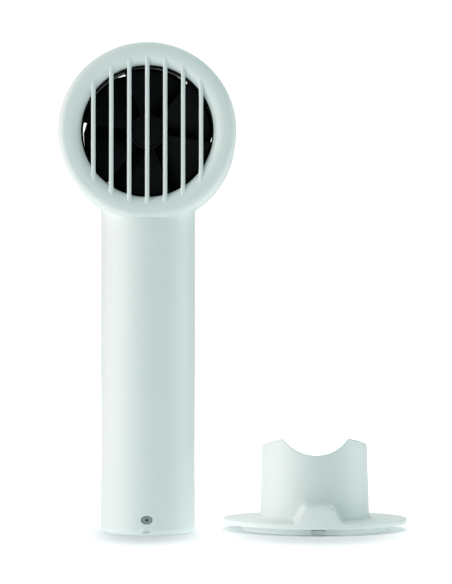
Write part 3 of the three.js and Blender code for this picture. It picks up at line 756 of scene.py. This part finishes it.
def duct_frame():
    """The black duct: a throat that flares to the rear in a quarter oval, a flange, and a cup on struts."""
    thick = 1.8
    throat = APERTURE_RADIUS + 0.2
    skirt = throat + thick
    lip = BLADE_TIP - 0.2
    flange = 34.4
    flare = quarter((throat + 3.8, -1), (3.8, 15.2), 180, 90, 20)
    front_edge = [
        (throat, -11.0),
        (throat, -11.4, 0.1),
        (lip, -11.4, 0.1),
        (lip, -13.4, 0.5),
        (skirt, -13.4, 0.2),
        (skirt, -13),
    ]
    flange_edge = [
        (skirt, -10),
        (skirt, -9, 0.3),
        (flange, -9, 0.2),
        (flange, -7.6, 0.2),
        (skirt, -7.6, 0.3),
        (skirt, -6),
    ]
    cup = [
        (3.6, 0, 0.2),
        (14.2, 0, 1.0),
        (14.2, 12.8, 0.3),
        (12.6, 12.8, 0.3),
        (12.6, 1.5, 0.5),
        (3.6, 1.5, 0.2),
    ]
    wall = np.vstack([
        rounded(front_edge, steps=4),
        rounded(flange_edge, steps=3),
        flare + (thick, 0),
        flare[::-1],
    ])
    bar = [(-1.5, 6, 0.6), (1.5, 6, 0.6), (1.5, 13, 0.6), (-1.5, 13, 0.6)]
    section = rounded(bar, closed=True, steps=4)

    def strut(turn):
        def place(a, b, far):
            x = far * np.cos(turn) - a * np.sin(turn)
            z = far * np.sin(turn) + a * np.cos(turn)
            return x, b, HEAD_CENTRE + z

        return carried(section, [(13.6, 1), (29.2, 1)], place)

    motor_cup = turned(rounded(cup, closed=True, steps=5), closed=True, columns=MIDDLE)
    struts = [strut(turn) for turn in np.radians((30, 150, 270))]
    fan_piece("duct_frame", [turned(wall, closed=True), motor_cup, *struts], "black_plastic")


# ---------------------------------------------------------------- the impeller and the motor


def blade(number):
    """One blade: a thin leaf with a round nose and tail, wound round the axis as it runs to the rear.

    Its angle falls from the front edge by a span that shrinks towards the tip. Its rows are loops, each a
    sine as high as the blade is thick, fuller at the nose, and each end folds flat.
    """
    fine_from = 24.5
    trim_from = 25.7
    radius = np.concatenate([
        np.linspace(HUB_RADIUS - 0.8, fine_from, 24)[:-1],
        np.linspace(fine_from, BLADE_TIP, 14),
    ])
    loop = np.linspace(0, TAU, 56, endpoint=False)
    share = (1 - np.cos(loop)) / 2
    thickness = np.sin(loop) * (0.72 + 0.28 * np.cos(loop))
    span = BLADE_SPAN[0] + (BLADE_SPAN[1] - BLADE_SPAN[0]) * ease(radius, trim_from, BLADE_TIP)
    angle = np.radians(BLADE_EDGE_ANGLE + 360 / BLADES * number - span[:, None] * share)
    depth = BLADE_FRONT + (BLADE_REAR - BLADE_FRONT) * share + BLADE_THICKNESS / 2 * thickness
    across = radius[:, None]
    rows = grid_of(across * np.cos(angle), depth, HEAD_CENTRE + across * np.sin(angle))
    mirrored = -np.arange(len(loop)) % len(loop)
    ends = [(rows[i] + rows[i][mirrored])[None] / 2 for i in (0, -1)]
    return skin(np.vstack([ends[0], rows, ends[1]]), wrap_v=True)


def impeller():
    """Hub as a deep cup with a bored boss, and six blades."""
    front, rear, floor = -10.6, -2.2, -9.2
    inner, boss = 6.2, 2.4
    hub = [
        (SHAFT_HOLE, front, 0.1),
        (HUB_RADIUS, front, 0.3),
        (HUB_RADIUS, rear, 0.3),
        (inner, rear, 0.2),
        (inner, floor, 0.5),
        (boss, floor, 0.5),
        (boss, rear - 0.4, 0.2),
        (SHAFT_HOLE, rear - 0.4, 0.1),
    ]
    cup = turned(rounded(hub, closed=True, steps=4), closed=True, columns=MIDDLE)
    fan_piece("impeller", [cup, *[blade(number) for number in range(BLADES)]], "black_plastic", "rotor")


def hub_cap():
    """Low cap on the hub, with a shallow ring groove and a rounded edge."""
    face, groove, back = -11.9, -11.6, -10.9
    corners = [
        (0, face),
        (5.8, face, 0.1),
        (5.95, groove, 0.1),
        (6.2, groove, 0.1),
        (6.35, face, 0.1),
        (HUB_RADIUS, face + 0.1, 0.5),
        (HUB_RADIUS, back, 0.1),
        (0, back),
    ]
    turned_part("hub_cap", "black_plastic", corners, "rotor", MIDDLE)


def turned_part(name, slot, corners, body="housing", columns=COARSE, x=0, z=HEAD_CENTRE):
    """A small part turned from an outline of (radius, depth, corner radius) rows.

    An outline that starts on the axis also ends there, and any other closes on itself.
    """
    closed = corners[0][0] > 0
    fan_piece(name, [turned(rounded(corners, closed, 4), x, z, columns, closed)], slot, body)


def motor_parts():
    """The motor's turned parts on the head's axis, and its two screws."""
    shaft = [(0, -10), (1, -10, 0.2), (1, 15.3, 0.2), (0, 15.3)]
    turned_part("motor_shaft", "steel", shaft, "rotor")
    commutator = [(SHAFT_HOLE, 9.9, 0), (2.4, 9.9, 0.1), (2.4, 12.3, 0.1), (SHAFT_HOLE, 12.3, 0)]
    turned_part("commutator", "copper", commutator, "rotor")
    can = [
        (3.2, 1.8, 0.1),
        (MOTOR_RADIUS, 1.8, 0.7),
        (MOTOR_RADIUS, 12.6, 0.1),
        (MOTOR_RADIUS - 0.8, 12.6, 0.1),
        (MOTOR_RADIUS - 0.8, 2.8, 0.4),
        (3.2, 2.8, 0.1),
    ]
    turned_part("motor_can", "steel", can, columns=MIDDLE)
    end_cap = [
        (2.5, 12.9, 0.1),
        (12.2, 12.9, 0.1),
        (12.2, 14.4, 0.5),
        (4.2, 14.4, 0.4),
        (4.2, 15.2, 0.3),
        (2.5, 15.2, 0.2),
    ]
    turned_part("motor_end_cap", "white_nylon", end_cap, columns=MIDDLE)
    front_bush = [(SHAFT_HOLE, 0.6, 0.1), (2.9, 0.6, 0.2), (2.9, 3.6, 0.2), (SHAFT_HOLE, 3.6, 0.1)]
    turned_part("front_bush", "bronze", front_bush)
    rear_bush = [(SHAFT_HOLE, 12.7, 0.1), (2.2, 12.7, 0.1), (2.2, 15, 0.2), (SHAFT_HOLE, 15, 0.1)]
    turned_part("rear_bush", "bronze", rear_bush)
    screw_edge = [
        (0, -1.2),
        (1.8, -1.2, 0.3),
        (1.8, -0.3, 0.1),
        (0.75, -0.3, 0.1),
        (0.75, 3, 0.2),
        (0, 3),
    ]
    for name, side in (("left", -1), ("right", 1)):
        turned_part("motor_screw_" + name, "steel", screw_edge, x=side * MOTOR_SCREW_OFFSET)


def motor_wires():
    """Supply leads from the switch board up behind the duct to the motor's terminals."""
    route = np.array([
        (6, 7, 121),
        (6, 7.3, 127.4),
        (6, 11, 130),
        (5.5, 15, 132),
        (4.8, 16.1, 138),
        (4.6, 16, 150),
        (5.3, 15.9, 165),
    ])
    for name, side in (("red", -1), ("black", 1)):
        fan_piece("motor_wire_" + name, [strand(route * (side, 1, 1), 0.6, (1, 0, 0))], name + "_wire")


# ---------------------------------------------------------------- the foot and the controls


def charge_socket():
    """The charging inlet: an oval nose with a rounded edge and a pin hole, on a block behind the wall."""
    face, back = -19.1, -15.8
    hole_end = -17.6
    hole = 0.6
    angle = np.linspace(0, TAU, MIDDLE, endpoint=False)
    unit = np.stack([np.cos(angle), np.sin(angle)], 1)
    radii = np.array([2.28, 1.68])
    rows = [(unit * (radii - shrink), y) for shrink, y in (
        (0, back), (0, face + 0.3), (0.09, face + 0.09), (0.3, face)
    )]
    rows += [(unit * radius, y) for radius, y in (
        (hole + 0.15, face), (hole + 0.02, face + 0.12), (hole, face + 0.4), (hole, hole_end), (0, hole_end)
    )]
    rows.append((unit * 0, back))
    grid = np.array([grid_of(loop[:, 0], y, SOCKET_HEIGHT + loop[:, 1]) for loop, y in rows])
    nose = merged([skin(grid[:-1], wrap_v=True), skin(grid[[0, -1]], wrap_v=True)])
    half, low, high = 4, 3.9, 9.3
    corners = [(-half, low, 0.4), (half, low, 0.4), (half, high, 0.4), (-half, high, 0.4)]
    stations = [(-15.7, 0.95), (-15.4, 1), (-7.5, 1), (-7.2, 0.95)]
    block = carried(rounded(corners, closed=True, steps=4), stations, lambda a, b, far: (a, far, b))
    fan_piece("charge_socket", [nose, block], "grey_plastic")


def power_button():
    """Round button with a shallow dish for the thumb, a rounded edge, and a flange behind the wall."""
    edge = [
        (5.0, 20.1),
        (BUTTON_RADIUS, 20.05, 0.5),
        (BUTTON_RADIUS, 16, 0.1),
        (7.2, 16, 0.1),
        (7.2, 15, 0.1),
        (1.5, 15, 0.1),
        (1.5, 14.5, 0.1),
        (0, 14.5),
    ]
    profile = np.vstack([quarter((0, 44.6), (24.8, 24.8), 270, 281, 10), rounded(edge, steps=6)])
    skins = [turned(profile, z=BUTTON_HEIGHT, columns=MIDDLE)]
    fan_piece("power_button", skins, "white_abs", "power_button")


def indicator_lens():
    """Light pipe with a flange inside and a low domed face."""
    flange = LENS_RADIUS + 1.0
    corners = [
        (0, 11),
        (LENS_RADIUS, 11, 0.1),
        (LENS_RADIUS, 16.2, 0.1),
        (flange, 16.2, 0.1),
        (flange, 17.2, 0.1),
        (LENS_RADIUS, 17.2, 0.1),
        (LENS_RADIUS, 19.5, 0.4),
        (0, 19.6),
    ]
    turned_part("indicator_lens", "clear_lens", corners, z=LENS_HEIGHT)


def flat_disc(name, slot, radii, levels, holes, body="housing", centre=(0, 0), step=None):
    """A disc as a polar grid with an underside and a top, a quarter circle round its rim, and holes.

    radii are the ring with the holes, from and to, and the disc's own; step is (radius, height) of a raised
    middle on the top face. Each hole is (angle, distance, reach of its window, radii, profile, power).
    """
    rim_edge, step_edge = 0.3, 0.25
    turn = np.linspace(0, TAU, 240, endpoint=False)
    ring = np.unique(np.round(np.concatenate([
        [0, 2, 5, 8],
        np.linspace(radii[0], radii[1], 30),
        radii[2] - np.array([rim_edge, 0.12, 0.03, 0]),
        [] if step is None else step[0] - np.array([step_edge, 0.1, 0.02, 0]),
    ]), 6))
    angle, radius = np.meshgrid(turn, ring, indexing="ij")
    inset = np.clip(rim_edge - (radii[2] - radius), 0, rim_edge)
    rise = rim_edge - np.sqrt(rim_edge**2 - inset**2)
    top = levels[1] - rise
    if step is not None:
        within = np.clip(step_edge - (step[0] - radius), 0, step_edge)
        raised = step[1] - (step_edge - np.sqrt(step_edge**2 - within**2))
        top = np.where(radius <= step[0], raised, top)

    def face_at(height):
        return grid_of(centre[0] + radius * np.cos(angle), centre[1] + radius * np.sin(angle), height)

    def face(x, y, depth):
        return np.stack([x, y, np.full_like(x, levels[0]) + depth], -1)

    def hole(bearing, distance, reach, hole_radii, profile, power):
        spread = np.radians(bearing)
        place = np.array([centre[0] + distance * np.cos(spread), centre[1] + distance * np.sin(spread)])
        side = reach / distance
        rows = nearest(turn, spread - side), nearest(turn, spread + side)
        columns = nearest(ring, distance - reach), nearest(ring, distance + reach)

        def maker(outer_loop, inner_loop):
            return opening(face, outer_loop, inner_loop, place, np.array(hole_radii), profile, power, 3)

        return rows, columns, maker

    makers = [hole(*one) for one in holes]
    under, over = face_at(levels[0] + rise), face_at(top)
    sheet = thick_sheet(under, over, lambda points: points[:, :2], wrap=True, pole=True, holes=makers)
    fan_piece(name, [sheet], slot, body)


def countersunk(clear, depth, thickness):
    """Profile of a screw hole from below: a wide recess, then the narrow way through."""
    return [(0.2, 0), (0.05, 0.05), (0, 0.2), (0, depth), (-clear, depth), (-clear, thickness)]


def bottom_cap():
    """The disc in the handle's foot, with a recess for each of its two screws."""
    spread = np.degrees(np.arctan2(CAP_SCREW[1], CAP_SCREW[0]))
    distance = np.hypot(*CAP_SCREW)
    reach = 2.7
    profile = countersunk(1.0, 0.9, CAP_THICKNESS)
    holes = [(angle, distance, reach, (2.1, 2.1), profile, 2.0) for angle in (spread, 180 - spread)]
    radii = (distance - reach, distance + reach, CAP_RADIUS)
    flat_disc("bottom_cap", "white_abs", radii, (0, CAP_THICKNESS), holes)


def stand_floor():
    """The disc that closes the stand below, with a raised seat for the handle and a slot for a cable."""
    low, high = 0.3, 1.7
    thick = high - low
    reach = 2.7
    screw_way = countersunk(1.1, 0.7, thick)
    slot_way = [(0.2, 0), (0.05, 0.05), (0, 0.2), (0, thick)]
    holes = [(angle, STAND_SCREW_RADIUS, reach, (2.0, 2.0), screw_way, 2.0) for angle in STAND_SCREW_ANGLES]
    holes.insert(2, (269.9999, STAND_SCREW_RADIUS - 0.4, reach, (2.5, 2.2), slot_way, 4.0))
    radii = (STAND_SCREW_RADIUS - reach - 0.4, STAND_SCREW_RADIUS + reach, FOOT_RING[0] - CLEARANCE)
    flat_disc("stand_floor", "white_abs", radii, (low, high), holes, "stand", (STAND_X, STAND_Y), SEAT)


def screw(name, x, y, low, head, body):
    """A small countersunk screw seen from below: a cross-recessed head on a plain shank.

    head is (head radius, head height, shank radius, whole length).
    """
    head_radius, head_height, shank, length = head
    turn = np.linspace(0, TAU, 64, endpoint=False)
    angle, radius = np.meshgrid(turn, np.linspace(0, head_radius, 14), indexing="ij")
    a, b = radius * np.cos(angle), radius * np.sin(angle)
    arms = np.minimum(np.abs(a), np.abs(b))
    recess = 0.22 * (1 - ease(arms, 0.12, 0.24)) * (1 - ease(radius, 0.9, 1.15))
    crown = 0.1 * (radius / head_radius) ** 4
    under = grid_of(x + a, y + b, low + recess + crown)
    corners = [
        (head_radius, low + 0.1),
        (head_radius, low + head_height, 0.1),
        (shank, low + head_height, 0.1),
        (shank, low + length, 0.2),
        (0, low + length),
    ]
    across, level = rounded(corners, steps=3).T
    rest = grid_of(x + across * np.cos(turn)[:, None], y + across * np.sin(turn)[:, None], level)
    fan_piece(name, [skin(np.concatenate([under, rest], 1), wrap_u=True)], "steel", body)


def screws():
    """The two screws of the bottom cap and the three of the stand's floor."""
    for name, side in (("left", -1), ("right", 1)):
        screw("cap_screw_" + name, side * CAP_SCREW[0], CAP_SCREW[1], 0.1, (1.7, 0.5, 0.8, 8.4), "housing")
    for number, angle in enumerate(np.radians(STAND_SCREW_ANGLES)):
        x = STAND_X + STAND_SCREW_RADIUS * np.cos(angle)
        y = STAND_Y + STAND_SCREW_RADIUS * np.sin(angle)
        screw(f"stand_screw_{number + 1}", x, y, 0.35, (1.6, 0.4, 0.6, 3.65), "stand")


def socket_pin():
    """The inlet's centre pin, round-nosed."""
    radius, tip, root = 0.35, -18.1, -9.3
    profile = rounded([(0, tip), (radius, tip, 0.2), (radius, root, 0.1), (0, root)], steps=5)
    fan_piece("socket_pin", [turned(profile, z=SOCKET_HEIGHT, columns=24)], "nickel")


# ---------------------------------------------------------------- the stand


def collar_top(x, y):
    """Height of the collar's top edge: a crown arched from side to side, cut by a round scoop.

    Both fall evenly from front to rear. They meet in tips whose points are rounded by a smooth minimum.
    """
    share = (y + COLLAR_TOP) / (2 * COLLAR_TOP)
    ridge = CROWN_HEIGHTS[0] + (CROWN_HEIGHTS[1] - CROWN_HEIGHTS[0]) * share
    crown = ridge - CROWN_RADIUS + np.sqrt(CROWN_RADIUS**2 - x**2)
    centre = SCOOP_CENTRES[0] + (SCOOP_CENTRES[1] - SCOOP_CENTRES[0]) * share
    radius = SCOOP_RADII[0] + (SCOOP_RADII[1] - SCOOP_RADII[0]) * share
    across = np.abs(x - SCOOP_OFFSET)
    inside = np.clip(radius**2 - across**2, 0, None)
    scoop = np.where(across < radius, centre - np.sqrt(inside), centre + 4 * (across - radius))
    soft = 1.0
    gap = np.clip(soft - np.abs(crown - scoop), 0, soft)
    return np.minimum(crown, scoop) - gap**2 / (4 * soft)


def hood_height(x, y, wall=0.0):
    """Height of the hood over the plate: a flat top, rounded shoulders, leaning flanks and a flared foot.

    It is the smooth minimum of the top and a line that falls along each flank, and the smooth maximum of
    that and the plate. Only the front half of the stand has it.
    """
    top = HOOD_HEIGHT - wall
    slope = (HOOD_HEIGHT - PLATE_TOP) / (HOOD_HALF_BASE - HOOD_HALF_TOP)
    flank = PLATE_TOP + (HOOD_HALF_BASE - wall - np.abs(x)) * slope
    gap = np.clip(HOOD_SHOULDER - np.abs(top - flank), 0, HOOD_SHOULDER)
    raised = np.minimum(top, flank) - gap**2 / (4 * HOOD_SHOULDER)
    base = PLATE_TOP if wall == 0 else PLATE_BOTTOM
    flare = HOOD_FLARE if wall == 0 else 0.6
    gap = np.clip(flare - np.abs(raised - base), 0, flare)
    height = np.maximum(raised, base) + gap**2 / (4 * flare)
    return np.where(y < 0, height, base)


def stand_body():
    """The stand's one moulding, as one surface closed both ways.

    Each column is a loop: in under the plate, round the foot ring, up the plate's edge (as high as the hood
    where there is one), over the top and up the collar, over its edge and down the bore. In front the
    columns run straight to the rear, so that the hood's flanks stay sharp; elsewhere they fan out.
    """
    reach, spacing = 13.0, 0.16
    notch_half = CABLE_NOTCH / 2
    notch_edges = [side * (notch_half + nudge) for side in (-1, 1) for nudge in (-0.02, 0.02)]
    straight = np.concatenate([np.arange(-reach, reach + spacing / 2, spacing), notch_edges])
    front_x = np.unique(np.round(straight, 5))
    fan_out = np.linspace(0, 1, 440)[1:-1]

    def angles(radius):
        """Bearing of each column on a circle: straight columns in front, then evenly round the rest."""
        edge = np.arcsin(reach / radius)
        return np.concatenate([np.arcsin(front_x / radius), edge + fan_out * (TAU - 2 * edge)])

    rim_angle, collar_angle = angles(PLATE_RADIUS), angles(COLLAR_FOOT)

    def at_rim(radius):
        return radius * np.sin(rim_angle), -radius * np.cos(rim_angle)

    def at_collar(radius):
        return radius * np.sin(collar_angle), -radius * np.cos(collar_angle)

    rim_x, rim_y = at_rim(PLATE_RADIUS)
    foot_x, foot_y = at_collar(COLLAR_FOOT)
    in_front = np.abs(rim_angle - np.pi) > np.pi - 0.9

    def between(radius):
        """Where the columns cross a circle between the collar's foot and the rim."""
        share = (radius - COLLAR_FOOT) / (PLATE_RADIUS - COLLAR_FOOT)
        x = foot_x + (rim_x - foot_x) * share
        circle = -radius * np.sqrt(np.clip(1 - (np.abs(x) / radius) ** 2, 0, None))
        return x, np.where(in_front, circle, foot_y + (rim_y - foot_y) * share)

    def pocket(place):
        """Height of the underside: the plate's, and the hood's inside where there is one."""
        x, y = place
        inside = (np.hypot(x, y) < PLATE_RADIUS - HOOD_WALL) & (y < 0)
        return np.where(inside, hood_height(x, y, HOOD_WALL), PLATE_BOTTOM)

    def collar_radius(height):
        """Radius of the collar's slightly tapered outside at a height."""
        rise = CROWN_HEIGHTS[0] - PLATE_TOP
        return COLLAR_FOOT + (COLLAR_TOP - COLLAR_FOOT) * (height - PLATE_TOP) / rise

    rows = []

    def row(place, height):
        rows.append(grid_of(*place, height))

    for radius in np.linspace(COLLAR_BORE, FOOT_RING[0] - 0.02, 10):
        place = at_collar(radius) if radius <= COLLAR_FOOT else between(radius)
        row(place, pocket(place))
    ring_lip = 0.35
    corner = np.radians(np.linspace(0, 90, 6))
    inner_lip = [(FOOT_RING[0] + ring_lip * (1 - np.cos(a)), ring_lip * (1 - np.sin(a))) for a in corner]
    outer_lip = [(FOOT_RING[1] - ring_lip * (1 - np.sin(a)), ring_lip * (1 - np.cos(a))) for a in corner]
    for radius, height in inner_lip + outer_lip:
        place = between(radius)
        notch = (np.abs(place[0]) < notch_half) & (place[1] < 0)
        row(place, np.where(notch, pocket(place), height))
    for radius in (FOOT_RING[1] + 0.02, 33.0, 35.0, 37.0, 37.5, 37.6, 38.2):
        place = between(radius)
        row(place, pocket(place))

    under, edge = 0.5, 0.55
    for a in corner:
        row(at_rim(PLATE_RADIUS - under * (1 - np.sin(a))), PLATE_BOTTOM + under * (1 - np.cos(a)))
    low, high = PLATE_BOTTOM + under, hood_height(rim_x, rim_y) - edge
    for share in np.linspace(0, 1, 7)[1:-1]:
        row((rim_x, rim_y), low + (high - low) * share)
    for a in np.radians(np.linspace(0, 90, 8)):
        place = at_rim(PLATE_RADIUS - edge * (1 - np.cos(a)))
        row(place, hood_height(*place) - edge * (1 - np.sin(a)))

    fillet = 2.0
    for radius in np.linspace(PLATE_RADIUS - edge, COLLAR_FOOT + fillet, 44)[1:-1]:
        place = between(radius)
        row(place, hood_height(*place))
    for a in np.radians(np.linspace(0, 90, 12)):
        place = at_collar(COLLAR_FOOT + fillet * (1 - np.sin(a)))
        row(place, hood_height(*place) + fillet * (1 - np.cos(a)))

    round_out, round_in = 1.2, 0.7
    start = hood_height(foot_x, foot_y) + fillet
    end = collar_top(*at_collar(COLLAR_TOP)) - round_out
    for share in np.linspace(0, 1, 17)[1:]:
        height = start + (end - start) * share
        row(at_collar(collar_radius(height)), height)
    edge_radius = collar_radius(end)
    for a in np.radians(np.linspace(0, 90, 8))[1:]:
        place = at_collar(edge_radius - round_out * (1 - np.cos(a)))
        row(place, collar_top(*place) - round_out * (1 - np.sin(a)))
    land = COLLAR_BORE + round_in - edge_radius + round_out
    for share in (0.33, 0.66):
        place = at_collar(edge_radius - round_out + land * share)
        row(place, collar_top(*place))
    for a in np.radians(np.linspace(0, 90, 7)):
        place = at_collar(COLLAR_BORE + round_in * (1 - np.sin(a)))
        row(place, collar_top(*place) - round_in * (1 - np.cos(a)))
    bore = at_collar(COLLAR_BORE)
    high, low = collar_top(*bore) - round_in, pocket(bore)
    for share in np.linspace(0, 1, 12)[1:-1]:
        row(bore, high + (low - high) * share)
    grid = np.array(rows) + (STAND_X, STAND_Y, 0)
    fan_piece("stand_body", [skin(grid, wrap_u=True, wrap_v=True)], "white_abs", "stand", crease=50)


# ---------------------------------------------------------------- building


front_shell()
rear_shell()
front_grille()
rear_grille()
duct_frame()
impeller()
hub_cap()
motor_parts()
motor_wires()
charge_socket()
socket_pin()
power_button()
indicator_lens()
bottom_cap()
screws()
stand_body()
stand_floor()

slots = {part["node"]: part["material_slot"] for part in frame["record"]["subparts"]}
for node, part in frame["nodes"].items():
    part.data.materials.clear()
    part.data.materials.append(LOOKS[slots[node]])


# ---------------------------------------------------------------- the floor, the light and the camera


# The soft boxes all face this point. Each is its name, bearing and height in degrees, distance, size, power
# and colour. Metres and watts.
STUDIO_MIDDLE = (0.03, 0, 0.1)
SIDE_BOX = (0.8, 0.9)
TOP_BOX = (1.2, 1.2)
SOFT_BOXES = (
    ("left_box", -95, 12, 1.2, SIDE_BOX, 4.0, (1.0, 0.61, 0.7)),
    ("near_left_box", -65, 12, 1.2, SIDE_BOX, 5.22, (1.0, 0.914, 0.854)),
    ("front_box", -45, 12, 1.2, SIDE_BOX, 1.4, (0.7, 0.9, 1.0)),
    ("right_box", 90, 12, 1.2, SIDE_BOX, 5.09, (0.964, 1.0, 0.989)),
    ("top_box", 0, 88, 1.2, TOP_BOX, 6.55, (0.974, 0.985, 1.0)),
    ("back_box", 180, 35, 1.4, (1.0, 1.0), 7.11, (1.0, 0.907, 0.914)),
)
FLOOR_BOX = ("floor_box", 0, 90, 1.2, TOP_BOX, 15.2, (0.93, 0.868, 0.868))


def plain_floor():
    """A wide, pale, dull floor that gives some light of its own, as an evenly lit sweep does.

    Seen directly, its glow is faint in a short oval round each foot, whose narrowness is across X, and full
    well away from both. The faint oval is a painted contact shadow, fixed where each foot stands at rest.
    """
    half = 6.0
    corners = [(-half, -half, 0), (half, -half, 0), (half, half, 0), (-half, half, 0)]
    mesh = bpy.data.meshes.new("floor")
    mesh.from_pydata(corners, [], [(0, 1, 2, 3)])
    look, tree, where = blank("matt_white_sweep")
    paper = add(tree, "ShaderNodeTexNoise", Vector=where, Scale=400.0, Detail=2.0)
    dark, light = (0.86, 0.88, 0.9, 1), (0.88, 0.9, 0.92, 1)
    tone = add(
        tree, "ShaderNodeMix", {"data_type": "RGBA"}, Factor=paper.outputs["Fac"], _6=dark, _7=light
    ).outputs[2]

    def math(operation, first, second):
        return add(tree, "ShaderNodeMath", {"operation": operation}, _0=first, _1=second).outputs[0]

    def vector(operation, first, second, output):
        made = add(tree, "ShaderNodeVectorMath", {"operation": operation}, _0=first, _1=second)
        return made.outputs[output]

    def fade(value, near, far, low, high):
        smooth = {"interpolation_type": "SMOOTHSTEP"}
        limits = {"From_Min": near, "From_Max": far, "To_Min": low, "To_Max": high}
        return add(tree, "ShaderNodeMapRange", smooth, Value=value, **limits).outputs["Result"]

    # Painted contact shadow: the glow that the camera sees is turned down near each foot's rest place, and
    # it stays there when a foot moves.
    gaps = []
    for x, y, radius, narrow in ((0, 0, HANDLE_RADIUS, 3.0), (STAND_X, STAND_Y, PLATE_RADIUS, 2.2)):
        squeezed = vector("MULTIPLY", where, (narrow, 1, 1), 0)
        centre = (x * narrow * MM, y * MM, 0)
        gaps.append(math("SUBTRACT", vector("DISTANCE", squeezed, centre, "Value"), radius * MM))
    gap = math("MINIMUM", *gaps)
    seen = math("ADD", fade(gap, 0.01, 0.07, FLOOR_PAINTED_SHADOW, FLOOR_CLEAR), fade(gap, 0.15, 0.6, 0.0, 1.0))
    directly = add(tree, "ShaderNodeLightPath").outputs["Is Camera Ray"]
    glow = add(tree, "ShaderNodeMix", Factor=directly, _2=FLOOR_GLOW, _3=seen)
    shader = add(
        tree,
        "ShaderNodeBsdfPrincipled",
        Base_Color=tone,
        Roughness=0.9,
        Specular_IOR_Level=0.1,
        Emission_Color=(1.0, 1.0, 1.0, 1),
        Emission_Strength=glow.outputs[0],
    )
    add(tree, "ShaderNodeOutputMaterial", Surface=shader.outputs["BSDF"])
    mesh.materials.append(look)
    floor = bpy.data.objects.new("floor", mesh)
    bpy.context.scene.collection.objects.link(floor)


def soft_light(name, azimuth, elevation, distance, size, power, colour, lit, shading):
    """A soft box that the camera doesn't see, placed by its bearing from straight ahead, + to the right.

    It lights only the lit group, and only the shading group throws shadows in it.
    """
    light = bpy.data.lights.new(name, "AREA")
    light.shape = "RECTANGLE"
    light.size, light.size_y = size
    light.energy = power
    light.color = colour
    turn, rise = radians(azimuth), radians(elevation)
    away = Vector((np.sin(turn) * np.cos(rise), -np.cos(turn) * np.cos(rise), np.sin(rise)))
    box = bpy.data.objects.new(name, light)
    box.location = Vector(STUDIO_MIDDLE) + away * distance
    box.rotation_euler = (-away).to_track_quat("-Z", "Y").to_euler()
    box.visible_camera = False
    bpy.context.scene.collection.objects.link(box)
    box.light_linking.receiver_collection = lit
    box.light_linking.blocker_collection = shading


def gathered(name, wanted):
    """A collection of the meshes whose names wanted accepts, to pair lights with what they light."""
    group = bpy.data.collections.new(name)
    for thing in bpy.context.scene.objects:
        if thing.type == "MESH" and wanted(thing.name):
            group.objects.link(thing)
    return group


def studio():
    """An even pale surround, and soft boxes to the left, right, front, back and overhead.

    The fan and the stand have a set of boxes each, so that neither shades the other, and one box overhead
    lights only the floor, where everything throws its shadow.
    """
    world = bpy.data.worlds.new("pale_surround")
    bpy.context.scene.world = world
    world.use_nodes = True
    tree = world.node_tree
    tree.nodes.clear()
    seen = add(tree, "ShaderNodeBackground", Color=(1, 1, 1, 1), Strength=1.15).outputs[0]
    fill = add(tree, "ShaderNodeBackground", Color=(0.56, 1.0, 0.94, 1), Strength=0.16).outputs[0]
    directly = add(tree, "ShaderNodeLightPath").outputs["Is Camera Ray"]
    both = add(tree, "ShaderNodeMixShader", _0=directly, _1=fill, _2=seen)
    add(tree, "ShaderNodeOutputWorld", Surface=both.outputs[0])
    fan = gathered("fan_only", lambda name: not name.startswith(("stand_", "floor")))
    stand = gathered("stand_only", lambda name: name.startswith("stand_"))
    sweep = gathered("floor_only", lambda name: name.startswith("floor"))
    everything = gathered("everything", lambda name: True)
    for things in (fan, stand):
        for name, *rest in SOFT_BOXES:
            soft_light(f"{name}_{things.name}", *rest, things, things)
    soft_light(*FLOOR_BOX, sweep, everything)


def view_camera():
    """A long lens at arm's length, a little above the handle's middle, looking slightly up at the head."""
    lens = bpy.data.cameras.new("camera")
    lens.lens = 139.4
    lens.sensor_width = 36
    lens.clip_end = 50
    camera = bpy.data.objects.new("camera", lens)
    camera.location = (0.0235, -0.95, 0.075)
    aim = Vector((0.0327, 0.0, 0.1008))
    camera.rotation_euler = (aim - camera.location).to_track_quat("-Z", "Y").to_euler()
    bpy.context.scene.collection.objects.link(camera)
    bpy.context.scene.camera = camera


plain_floor()
studio()
view_camera()
bpy.context.scene.view_settings.view_transform = "Standard"
